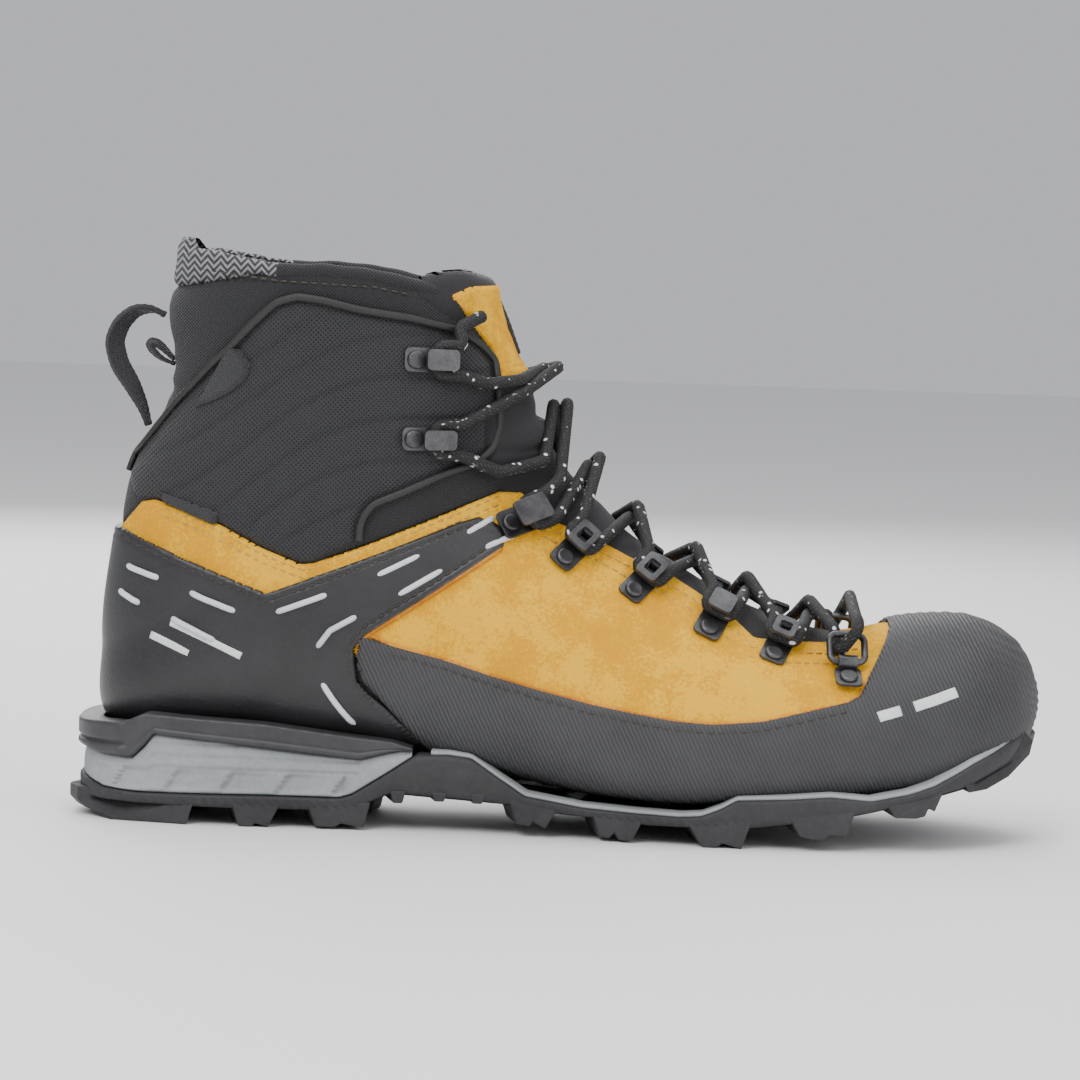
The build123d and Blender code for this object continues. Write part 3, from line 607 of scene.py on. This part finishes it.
inner_edge = [(266, 80), (262, 68), (250, 61), (206, 64), (172, 83), (137, 103), (128, 120),
              (127, 140), (124, 150), (116, 160), (110, 169)]
collar_top = [(105, 171.5), (90, 174.8), (75, 176), (62, 175.5), (45, 178), (33, 179.5), (29, 177),
              (24, 170)]
surface_piece(
    "lining", [(-10, 5), (325, 5), (325, 80)] + inner_edge + [(x, z - 0.6) for x, z in collar_top]
    + [(-10, 166)], 0.6, LINING, ("liner", "lasting_board", "heel_counter", "toe_puff", "footbed"),
    edge=3, dip=0.4, relief=soft_relief)
suede_line = [(264, 75), (262, 72)] + THROAT[1:] + BAND_TOP + SUEDE_HEM[::-1]
surface_piece("suede", suede_line, 3.1, SUEDE, ("suede_upper",), relief=suede_relief,
              dip=0.7, edge=0.9)
surface_piece("overlay", OVERLAY, 4.3, FILM, ("heel_overlay",), relief=overlay_relief)
surface_piece("rand", RAND, 4.9, RAND_RUBBER, ("toe_rand",), relief=rand_relief, edge=1.3)
for side in ("lateral", "medial"):
    surface_piece("quarter_" + side, PANEL, 2.6, PANEL_MESH, ("quarter_panel_" + side,), side,
                  relief=panel_relief, dip=1.2, edge=3)
cuff_line = ([(130.5, 107), (131, 112), (129.5, 120), (129.8, 140), (127, 150.5), (118.5, 160),
              (112.5, 169)] + COLLAR[2:6] + [(62, 174.9)] + KNIT_SEAM[1:] + [(-8, 165), (-8, 91.5)]
             + BAND_TOP[::-1])
surface_piece("cuff", cuff_line, 2.3, CUFF_CLOTH, ("ankle_cuff",), relief=cuff_relief,
                        dip=1.2, edge=4)
surface_piece("knit", KNIT_SEAM + [(-8, 165), (-8, 190), (30, 184)] + COLLAR[7:2:-1], 3.2, KNIT,
              ("knit_collar",), relief=soft_relief, dip=2.6, edge=4)
tongue_line = ([(260, 66), (250, 59), (206, 62), (172, 80), (137, 100), (124, 112), (122, 130),
                (120, 148), (108, 160), (100, 168), (103, 173), (109, 175), (117, 176), (124, 174.5),
                (140, 168), (140, 130), (210, 100), (262, 85)])


def tongue_relief(points, signed):
    z = points[:, 2]
    swell = 3.2 * np.exp(-((z - 124) / 17) ** 2) + 1.4 * np.exp(-((z - 166) / 8) ** 2)
    roll = -0.7 * np.exp(-((np.mod(z, 16) - 8) / 1.6) ** 2) * (z > 84) * (z < 150)
    return swell + roll + 0.4 * noise_field(points, 8, 9)


surface_piece("tongue_pad", tongue_line, 1.7, SOFTSHELL, ("tongue", "tongue_softshell"),
                        relief=tongue_relief, dip=2.0, edge=4)
surface_piece("tongue_suede", [(128, 141), (126, 150.5), (119, 159), (112, 168), (118, 171),
                               (135, 171), (170, 141)], 3.7, SUEDE, ("tongue_patch",),
              relief=suede_relief, edge=1.2)


def ribbon_on(name, line, width, lift, material, side, replaces=(), thick=0.9):
    # Raised tape following an open line on the surface
    centre, ups = [], []
    for x, z in resample(line, 0.9):
        place, outward = on_surface(x, z, side, lift)
        centre.append(place)
        ups.append(outward)
    centre = np.array(centre)
    for _ in range(3):
        centre[1:-1] = (centre[:-2] + 2 * centre[1:-1] + centre[2:]) / 4
    item = tube(name, centre, width / 2, material, around=12, flat=thick, ups=ups)
    if replaces:
        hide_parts(*replaces)
    return item


for side in ("lateral", "medial"):
    ribbon_on("piping_tape_" + side, PIPING, 2.5, 4.3, PIPE, side, ("piping_" + side,), 0.75)
    # painted shade: dark suede strips along the foot of the rand edge and of the overlay edge
    ribbon_on("suede_shade_strip_" + side, [(92, 62)] + RAND[2:15], 1.2, 3.6, SUEDE_CREASE_SHADE, side)
    ribbon_on("overlay_shade_strip_" + side, [(88.6, 58), (91.5, 61.4), (125, 83.9), (132.3, 89)], 1.0, 3.7,
              SUEDE_CREASE_SHADE, side)


RIM_LINE = [(108, 169.4), (105, 170.4), (90, 173.6), (75, 174.8), (62, 174.3), (54, 175.2),
            (45, 176.8), (36, 178.2), (31.5, 177), (28.5, 173.8), (26.3, 170.8)]


def rim_rolls():
    # Rounded, padded top edge of the collar: cuff cloth at the sides, knit round the heel
    halves = [[on_surface(x, z, side, 0.9)[0] for x, z in resample(RIM_LINE, 1.6)]
              for side in ("medial", "lateral")]
    back = master_tree.find_nearest(Vector((18, 0, 170)))[0]
    centre = resample(halves[0] + [np.array(back)] + halves[1][::-1], 0.9)
    for _ in range(16):
        centre[1:-1] = (centre[:-2] + 2 * centre[1:-1] + centre[2:]) / 4
    knit = np.flatnonzero(centre[:, 0] < 62)
    first, last = knit[0], knit[-1]
    for name, part, radius, material in (
        ("rim_medial", centre[:first + 2], 2.3, CUFF_CLOTH),
        ("rim_knit", centre[first:last + 1], 2.2, KNIT),
        ("rim_lateral", centre[last - 1:], 2.3, CUFF_CLOTH),
    ):
        tube(name, part, radius, material, around=16,
             relief=lambda reach, turn: 1 + 0.05 * math.sin(reach * 0.55) + 0.02 * math.sin(turn * 9))


rim_rolls()


# ---- Lace, cables and webbing -----------------------------------------------------------------
# Plates the lace passes round: turn from forward in degrees, and how far forward of the plate's
# middle its post or hinge line is measured from
GUIDES = {
    "ankle_hook_upper": (0, 0.5), "ankle_hook_lower": (0, 0.5), "instep_hook": (32, 0.5),
    "eyelet_1": (50, 0.5), "eyelet_2": (54, 0.5), "lock_eyelet": (65, 0.5), "eyelet_4": (70, 0.5),
    "d_ring_plate": (88, 5.2),
}
# Where the two runs cross over the tongue, in the order the lace climbs
CROSSINGS = {
    "eyelet_4": (231, 72), "lock_eyelet": (211, 79), "eyelet_2": (194, 88), "eyelet_1": (174, 101),
    "instep_hook": (161, 117), "ankle_hook_lower": (149.5, 135), "ankle_hook_upper": (146.5, 146),
}
WAYPOINTS = {
    ("instep_hook", "out"): [(150, 111)],
    ("ankle_hook_lower", "in"): [(145, 117), (131, 113.5)],
    ("ankle_hook_lower", "out"): [(126, 132), (137, 138)],
    ("ankle_hook_upper", "in"): [(136, 142), (126, 141)],
}
LACE_LEVEL = 3.4
LACE_SKIN = 7.6
HOOK_TURN = ((9.5, -4.5), (1.4, -4.5), (1.4, 4.5), (9.5, 4.5))
RING_TURN = [(15, -3.0, 9.8), (9.6, -3.0, 11.6), (4.6, -2.4, 11.6),
             (4.6, 2.4, 2.5), (9.6, 3.0, 2.5), (15, 3.0, 4.5)]
CROSSING = 2.3


def over(x, z, side, height):
    # Point at a height above the form that shows at (x, z) in the side view
    aim_x, aim_z = x, z
    for _ in range(5):
        place, _ = on_surface(aim_x, aim_z, side, height)
        aim_x += x - place[0]
        aim_z += z - place[2]
    return place


def on_plate(name, side, path):
    # Points above the underside of a CAD plate: u along it, v up the boot, level out from it
    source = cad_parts[name + "_" + side]
    flats = {}
    for face in source.data.polygons:
        key = tuple(round(v, 2) for v in face.normal) + (round(face.center.dot(face.normal), 4),)
        flats.setdefault(key, []).append(face)
    underside = max(flats.values(), key=lambda faces: sum(face.area for face in faces))
    outward = -np.array(source.matrix_world.to_3x3() @ underside[0].normal)
    corners = {v for face in underside for v in face.vertices}
    rim = np.array([source.matrix_world @ source.data.vertices[v].co for v in corners]) / MM
    turn, shift = GUIDES[name]
    ahead = np.array((math.cos(math.radians(turn)), 0, math.sin(math.radians(turn))))
    ahead -= outward * (ahead @ outward)
    ahead /= np.linalg.norm(ahead)
    rise = np.cross(outward, ahead)
    axes = np.array((ahead, rise, outward))
    spread = rim @ axes.T
    start = (spread.min(0) + spread.max(0)) / 2 @ axes + ahead * shift + (HALF, 0, 0)
    flip = 1 if side == "lateral" else -1
    return [start + ahead * u + rise * (flip * v) + outward * level for u, v, level in path]


def crossing(name, lift):
    x, z = CROSSINGS[name]
    outward = np.array((205.0 - x, 0, 150 - z))
    if x > 205:
        outward = np.array((0, 0, 1.0))
    if z > 120:
        outward = np.array((1, 0, 0.12))
    return np.array((x, 0, z)) + outward / np.linalg.norm(outward) * lift


def half_lace(side, on_top):
    # One run of the lace, from its D-ring up to the tucked end
    points = []
    for index, name in enumerate(CROSSINGS):
        points.append(crossing(name, CROSSING if (index % 2 == 0) == on_top else -CROSSING))
        side = "medial" if side == "lateral" else "lateral"
        points += [over(x, z, side, LACE_SKIN) for x, z in WAYPOINTS.get((name, "in"), [])]
        points += on_plate(name, side, [(u, v, LACE_LEVEL) for u, v in HOOK_TURN])
        points += [over(x, z, side, LACE_SKIN) for x, z in WAYPOINTS.get((name, "out"), [])]
    return points + [over(117, 158.5, side, 7.6), over(124, 162, side, 6.6)]


LACE_ROUTE = half_lace("lateral", True)[::-1] + on_plate("d_ring_plate", "lateral", RING_TURN)[::-1]
LACE_ROUTE += [np.array((244, 0, 76))] + on_plate("d_ring_plate", "medial", RING_TURN)
LACE_ROUTE += half_lace("medial", False)



def rounded(points, pitch=0.6, passes=14):
    line = resample(points, pitch)
    for _ in range(passes):
        line[1:-1] = (line[:-2] + 2 * line[1:-1] + line[2:]) / 4
    return line


def braid(reach, turn):
    return 1 + 0.055 * math.sin(turn * 4 + reach * 2.4) * math.sin(turn * 4 - reach * 2.4)


lace = tube("lace_cord", rounded(LACE_ROUTE), 1.95, LACE, around=16, relief=braid)
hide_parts("lace")

CABLE_DASHES = [
    [(17, 79.2), (22, 77.8), (27, 76.3)], [(15, 71.2), (22, 67.5)], [(36.5, 72.7), (51, 67.3)],
    [(31, 64.2), (38, 61), (45, 57.8)], [(63, 67.8), (79, 74.2)],
    [(76, 57.5), (80, 63), (88.5, 67.8)], [(78, 47), (83, 41), (89, 35)], [(92.5, 79.8), (108.5, 87.8)],
    [(99.5, 73.8), (115.5, 83.2)], [(120, 93), (129.5, 98.5)], [(126, 88.8), (136, 93)],
]
for side in ("lateral", "medial"):
    for number, dash in enumerate(CABLE_DASHES):
        line = resample(dash, 0.8)
        centre = []
        for step, (x, z) in enumerate(line):
            t = step / max(len(line) - 1, 1)
            sink = 2.2 * (abs(2 * t - 1) ** 6)
            base = 3.9 if number in (7, 8, 9, 10) else 4.9
            centre.append(on_surface(x, z, side, base - sink)[0])
        tube("cable_dash_%s_%d" % (side, number), centre, 0.95, CABLE)
    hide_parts("cable_rear_" + side, "cable_front_" + side)


def strap(name, points, width, thickness, twist, material, body, replaces=()):
    # Flat webbing with raised selvedges along a free curve in the side plane
    line = rounded(points, 0.7, 10)
    ahead = np.gradient(line, axis=0)
    ahead /= np.linalg.norm(ahead, axis=1)[:, None]
    verts, faces = [], []
    profile = []
    for k in range(13):
        v = -1 + k / 6
        profile.append((v * width / 2, thickness / 2 * (1 + 0.25 * (abs(v) > 0.75))))
    outline = profile + [(y, -t) for y, t in reversed(profile)]
    count = len(outline)
    for i, (place, forward) in enumerate(zip(line, ahead)):
        t = i / (len(line) - 1)
        turn = twist * math.sin(math.pi * t) ** 1.5
        out = np.cross(forward, (0, 1, 0))
        out /= np.linalg.norm(out)
        wide = np.array((0, 1.0, 0)) * math.cos(turn) + out * math.sin(turn)
        thick = np.cross(wide, forward)
        rib = 1 + 0.10 * math.sin(i * 2.1)
        for y, w in outline:
            verts.append(place + wide * y + thick * w * rib)
    for i in range(len(line) - 1):
        for k in range(count):
            a, b = i * count + k, i * count + (k + 1) % count
            faces.append((a, b, b + count, a + count))
    faces.append(tuple(range(count - 1, -1, -1)))
    faces.append(tuple(range((len(line) - 1) * count, len(line) * count)))
    item = mesh_object(name, verts, faces, material, body)
    if replaces:
        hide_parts(*replaces)
    return item


LOOP = [(22.5, 0, 158.5), (18.5, 0, 160.5), (13, 0, 159.8), (8.5, 0, 155.5), (6.3, 0, 149.5),
        (8.2, 0, 142.5), (12.5, 0, 136), (16.2, 0, 129), (18.2, 0, 123)]
strap("pull_loop_webbing", LOOP, 6.2, 1.5, 0.95, WEBBING, "pull_loop", ("heel_pull_loop",))
strap("small_loop_tape", [(26, 0, 143), (21.5, 0, 144.5), (17.5, 0, 148.2), (17.2, 0, 150.2),
                          (20.5, 0, 149.6), (26, 0, 144.2)], 4.5, 1.0, 0.4, WEBBING, "boot",
      ("heel_tape_loop",))
strap("tongue_keeper_tape", [(127.5, 0, 168.5), (131.5, 0, 160), (135.5, 0, 149.5)], 7, 1.4, 0.0,
      WEBBING, "boot", ("tongue_keeper",))

# ---- Tabs and marks ---------------------------------------------------------------------------
surface_piece("leaf_tab_blank", [(47.5, 150.8), (51, 149.6), (54, 145), (53, 140.5), (48.5, 135.8),
                                 (42, 131.4), (38, 129.6), (40.5, 135), (43.5, 142)], 5.6, WEBBING,
              ("leaf_tab",), "lateral", dip=0.8)
surface_piece("small_tab_blank", [(26, 103.4), (28, 100), (43.5, 94), (44.6, 98.4)], 4.6, WEBBING,
              ("small_tab",), "lateral", dip=0.8)
for name, line, width, level in (
    ("mark_heel_a", [(25, 58.3), (31, 55.9), (37, 53.4)], 2.4, 4.3),
    ("mark_heel_b", [(31, 62.8), (42, 58.3), (53, 53.8)], 2.4, 4.3),
    ("mark_toe_a", [(250.5, 40.4), (254, 41.4), (257.5, 42.4)], 3.4, 5.0),
    ("mark_toe_b", [(261.5, 43.6), (268, 45.7), (274.5, 48)], 3.4, 5.0),
):
    ribbon_on(name, line, width, level, MARK, "lateral", thick=0.16)

# ---- Stitching --------------------------------------------------------------------------------
band = [(129, 104.6), (120, 100.9), (92, 88.9), (74, 82), (70, 81.5), (58, 85.8), (45, 92.3),
        (33, 96.8), (25, 98.8)]
band_low = [(x, z - 2.6) for x, z in band]
throat_row = [(140, 101), (146, 94.6), (158, 89.8), (172, 82.4), (186, 76.3), (195, 70.8),
              (200, 66.9), (206, 63.7), (212, 59), (224, 57.4), (238, 57), (249, 59)]
throat_low = [(x - 1, z - 2.6) for x, z in throat_row]
sides = ("lateral", "medial")
stitches("thread_band", [(line, s) for s in sides for line in (band, band_low)], 3.05, THREAD_TAN)
stitches("thread_throat", [(line, s) for s in sides for line in (throat_row, throat_low)], 3.05,
         THREAD_TAN)
hem = [(15, 88), (37, 79.6), (60, 71.2), (118, 94.6), (124, 96.2), (129, 94)]
hem_low = [(130.5, 91.5), (124, 86.8), (90, 64), (86.2, 59), (86.4, 50), (97, 38)]
stitches("thread_overlay", [(line, s) for s in sides for line in (hem, hem_low)], 4.25, THREAD)
rand_hem = [(x, z - 2.4) for x, z in RAND[2:14]]
stitches("thread_rand", [(rand_hem, s) for s in sides], 4.95, THREAD, pitch=3.4)
cuff_row = [(36, 174), (62, 171.5), (90, 170.5), (104, 167.6)]
stitches("thread_collar", [(cuff_row, s) for s in sides], 3.2, THREAD)

# ---- Sole -------------------------------------------------------------------------------------
def closed_curve(points, pitch):
    ring = np.vstack([points, points[:1]])
    line = resample(ring, pitch)
    for _ in range(30):
        line = (np.roll(line, 1, 0) + 2 * line + np.roll(line, -1, 0)) / 4
    return line


plan = np.array([(x, -a) for x, a, _ in SOLE_PLAN] + [(x, b) for x, _, b in reversed(SOLE_PLAN)], float)
PLAN_LINE = closed_curve(plan, 1.0)
out = np.roll(PLAN_LINE, -1, 0) - np.roll(PLAN_LINE, 1, 0)
PLAN_OUT = np.stack([out[:, 1], -out[:, 0]], 1)
PLAN_OUT /= np.linalg.norm(PLAN_OUT, axis=1)[:, None]
if ((PLAN_LINE - (150, 0)) * PLAN_OUT).sum() < 0:
    PLAN_OUT = -PLAN_OUT
top_x, top_z = np.array(SOLE_TOP, float).T
base_x, base_z = np.array(SOLE_BASE, float).T


def wall(name, low, high, material, rows, relief, replaces=(), where=None, lip=8.0):
    # Side wall round the plan outline between two heights, turned in at top and bottom
    verts, faces = [], []
    for (x, y), (out_x, out_y) in zip(PLAN_LINE, PLAN_OUT):
        z0, z1 = low(x), high(x)
        for k in range(rows + 1):
            t = k / rows
            z = z0 + (z1 - z0) * t
            edge = min(t, 1 - t) * (z1 - z0)
            roll = 0.8 * (1 - math.sqrt(max(0.0, 1 - (1 - min(edge / 0.8, 1)) ** 2)))
            push = relief(x, y, z, t) - roll
            verts.append((x + out_x * push, y + out_y * push, z))
        x2, y2 = x - out_x * lip, y - out_y * lip
        verts.append((x2, y2, z1 + 0.2))
        verts.append((x2, y2, z0 - 0.2))
    deep = rows + 3
    for i in range(len(PLAN_LINE)):
        j = (i + 1) % len(PLAN_LINE)
        if where is not None and not (where(PLAN_LINE[i, 0]) and where(PLAN_LINE[j, 0])):
            continue
        for k in range(rows):
            faces.append((i * deep + k, j * deep + k, j * deep + k + 1, i * deep + k + 1))
        faces.append((i * deep + rows, j * deep + rows, j * deep + rows + 1, i * deep + rows + 1))
        faces.append((j * deep, i * deep, i * deep + rows + 2, j * deep + rows + 2))
    item = mesh_object(name, verts, faces, material)
    if replaces:
        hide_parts(*replaces)
    return item


def height_of(xs, zs):
    return lambda x: float(np.interp(x, xs, zs))


def tread_wall(x, y, z, t):
    return 0.35 * math.sin(x * 1.9 + z) * (z < 9) * (t > 0.1) * (t < 0.85) - 1.2 * (1 - t) ** 3


sole_low = height_of(base_x, base_z)
sole_high = height_of(top_x, top_z)
wall("outsole_wall", sole_low, sole_high, TREAD, 14, tread_wall, ("outsole",))


def lip_top(x):
    return sole_high(x) + 1.4


wall("outsole_lip", lambda x: sole_high(x) - 0.2, lip_top, GREY, 5,
     lambda x, y, z, t: -0.9, where=lambda x: x > 112, lip=6)
wedge_top = height_of([0, 8, 18, 22, 25, 90, 97, 103, 108], [22, 20.5, 20, 24, 28, 22, 24, 25.4, 25.4])


def wedge_relief(x, y, z, t):
    push = -1.2 - 1.4 * max(0.0, t - 0.5)
    if 24 < x < 90:
        for level in (25.2, 21.2, 17.6):
            if x < 52 or level < 25:
                push -= 0.8 * math.exp(-((z - level) / 0.45) ** 2)
    if 10.2 < z < 17.6 and 6 < x < 86:
        phase = ((x - 11 - (z - 10.5) * 0.62) / 17.6) % 1.0
        push -= 1.8 * (1 - phase) * min(1, (z - 10.2) / 1.5) * min(1, (17.6 - z) / 1.5)
    return push


wall("wedge_wall", lambda x: sole_high(x) + 0.3, wedge_top, GREY, 26, wedge_relief, ("heel_wedge",),
     where=lambda x: x < 107)
ledge_low = height_of([0, 8, 18, 22, 25, 90, 97, 103, 108],
                      [22.3, 20.8, 20.3, 24.3, 28.1, 22.3, 24.3, 25.6, 25.6])
ledge_top = height_of([0, 8, 15, 18, 22, 40, 60, 85, 100, 107],
                      [30.5, 31, 31.2, 32.5, 34.4, 33.5, 32.6, 29.8, 28.4, 26.4])


def ledge_relief(x, y, z, t):
    push = 0.3 - 0.5 * math.exp(-((t - 0.32) / 0.06) ** 2)
    if x < 16:
        push += 0.6 - 1.4 * math.exp(-((z - 24.6) / 0.5) ** 2)
    if x > 20 and t > 0.4:
        push -= 0.25 * (math.sin(x * 0.9) > 0.2)
    return push


wall("ledge_wall", ledge_low, ledge_top, TPU, 18, ledge_relief, ("heel_stabilizer",),
     where=lambda x: x < 107, lip=7)


def half_width(x, side):
    column = 1 if side < 0 else 2
    return float(np.interp(x, [p[0] for p in SOLE_PLAN], [p[column] for p in SOLE_PLAN]))


def lug_blocks():
    # Tread bars split into chamfered blocks across the boot
    build = bmesh.new()
    strips = ((-1.0, -0.50), (-0.44, -0.07), (0.07, 0.44), (0.50, 1.0))
    for lug in LUGS:
        for low, high in strips:
            rings = []
            for share in (low, high):
                ring = []
                for x, z in lug:
                    wide = half_width(min(max(x, 3), 300), -1 if share < 0 else 1)
                    y = share * (wide - (0.4 if abs(share) == 1 else 0))
                    skew = 3.5 * math.sin(share * 3) if abs(share) < 0.9 else 0
                    ring.append(build.verts.new(((x + skew - HALF) * MM, y * MM, z * MM)))
                rings.append(ring)
            n = len(lug)
            build.faces.new(rings[0])
            build.faces.new(rings[1][::-1])
            for k in range(n):
                build.faces.new((rings[0][k], rings[0][(k + 1) % n], rings[1][(k + 1) % n], rings[1][k]))
    bmesh.ops.recalc_face_normals(build, faces=build.faces)
    bmesh.ops.bevel(build, geom=list(build.edges), offset=0.00055, segments=2, profile=0.6,
                    affect="EDGES", clamp_overlap=True)
    data = bpy.data.meshes.new("tread_blocks")
    build.to_mesh(data)
    build.free()
    data.materials.append(TREAD)
    item = bpy.data.objects.new("tread_blocks", data)
    bpy.context.scene.collection.objects.link(item)
    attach(item, "boot")
    return item


lug_blocks()


def sole_floor():
    # Underside between the lugs, with a pebbled surface
    verts, faces = [], []
    xs = np.arange(1.5, 301, 2.0)
    count = 41
    for x in xs:
        for k in range(count):
            s = -1 + 2 * k / (count - 1)
            wide = half_width(x, s) - 1.5
            z = sole_low(x) + 0.15 * math.sin(x * 2.1) * math.sin(k * 2.7)
            verts.append((x, s * wide, z))
    for i in range(len(xs) - 1):
        for k in range(count - 1):
            a = i * count + k
            faces.append((a, a + 1, a + count + 1, a + count))
    return mesh_object("tread_floor", verts, faces, TREAD)


sole_floor()


# ---- Fittings: CAD shapes with softened edges -------------------------------------------------
def soften(node, material, bevel, body="boot"):
    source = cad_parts[node]
    data = source.data.copy()
    data.materials.clear()
    data.materials.append(material)
    item = bpy.data.objects.new(node + "_finished", data)
    bpy.context.scene.collection.objects.link(item)
    build = bmesh.new()
    build.from_mesh(data)
    bmesh.ops.remove_doubles(build, verts=build.verts, dist=0.00001)
    bmesh.ops.dissolve_limit(build, angle_limit=0.02, verts=build.verts, edges=build.edges)
    sharp = [e for e in build.edges if len(e.link_faces) == 2 and e.calc_face_angle(0) > 0.6]
    bmesh.ops.bevel(build, geom=sharp, offset=bevel, segments=2, profile=0.6, affect="EDGES",
                    clamp_overlap=True)
    build.to_mesh(data)
    build.free()
    data.polygons.foreach_set("use_smooth", [True] * len(data.polygons))
    weighted = item.modifiers.new("shade", "WEIGHTED_NORMAL")
    weighted.keep_sharp = False
    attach(item, body)
    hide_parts(node)
    return item


for side in sides:
    for name in ("ankle_hook_upper", "ankle_hook_lower", "instep_hook", "eyelet_1", "eyelet_2",
                 "lock_eyelet", "eyelet_4", "d_ring_plate"):
        soften(name + "_" + side, METAL, 0.0003)
    soften("d_ring_" + side, METAL, 0.00005, "d_ring_" + side)
soften("rivets", METAL, 0.0001)

# ---- Studio -----------------------------------------------------------------------------------
bpy.ops.mesh.primitive_plane_add(size=8)
floor = bpy.context.object
floor.name = "floor"
pale = bpy.data.materials.new("floor_pale")
pale.use_nodes = True
pale.node_tree.nodes["Principled BSDF"].inputs["Base Color"].default_value = (0.86, 0.86, 0.86, 1)
pale.node_tree.nodes["Principled BSDF"].inputs["Roughness"].default_value = 0.7
floor.data.materials.append(pale)


def lamp(name, place, size, power, target=(0, 0, 0.08)):
    light = bpy.data.lights.new(name, "AREA")
    light.size = size
    light.energy = power
    item = bpy.data.objects.new(name, light)
    bpy.context.scene.collection.objects.link(item)
    item.location = place
    item.rotation_euler = (Vector(target) - Vector(place)).to_track_quat("-Z", "Y").to_euler()
    return item


lamp("key", (-0.5, -1.0, 1.1), 0.9, 16)
lamp("fill", (0.9, -1.1, 0.6), 1.2, 9)
lamp("top", (0.1, 0.1, 1.4), 1.2, 14)
lamp("rim", (-0.3, 1.1, 0.7), 0.9, 10)
world = bpy.data.worlds.new("studio")
world.use_nodes = True
world.node_tree.nodes["Background"].inputs["Color"].default_value = (0.95, 0.96, 1.0, 1)
world.node_tree.nodes["Background"].inputs["Strength"].default_value = 0.6
bpy.context.scene.world = world

DISTANCE = 1.5
ELEVATION = math.radians(4)
ROLL = math.radians(1.9)
camera = bpy.data.cameras.new("camera")
camera.sensor_width = 36
camera.lens = 36 * DISTANCE / 0.3456
camera.clip_start = 0.01
view = bpy.data.objects.new("camera", camera)
bpy.context.scene.collection.objects.link(view)
target = Vector(((144.3 - HALF) * MM, 0, 0.0905))
view.location = target + Vector((0, -math.cos(ELEVATION), math.sin(ELEVATION))) * DISTANCE
look = (target - view.location).to_track_quat("-Z", "Y")
view.rotation_euler = (look.to_matrix() @ Matrix.Rotation(ROLL, 3, "Z")).to_euler()
bpy.context.scene.camera = view
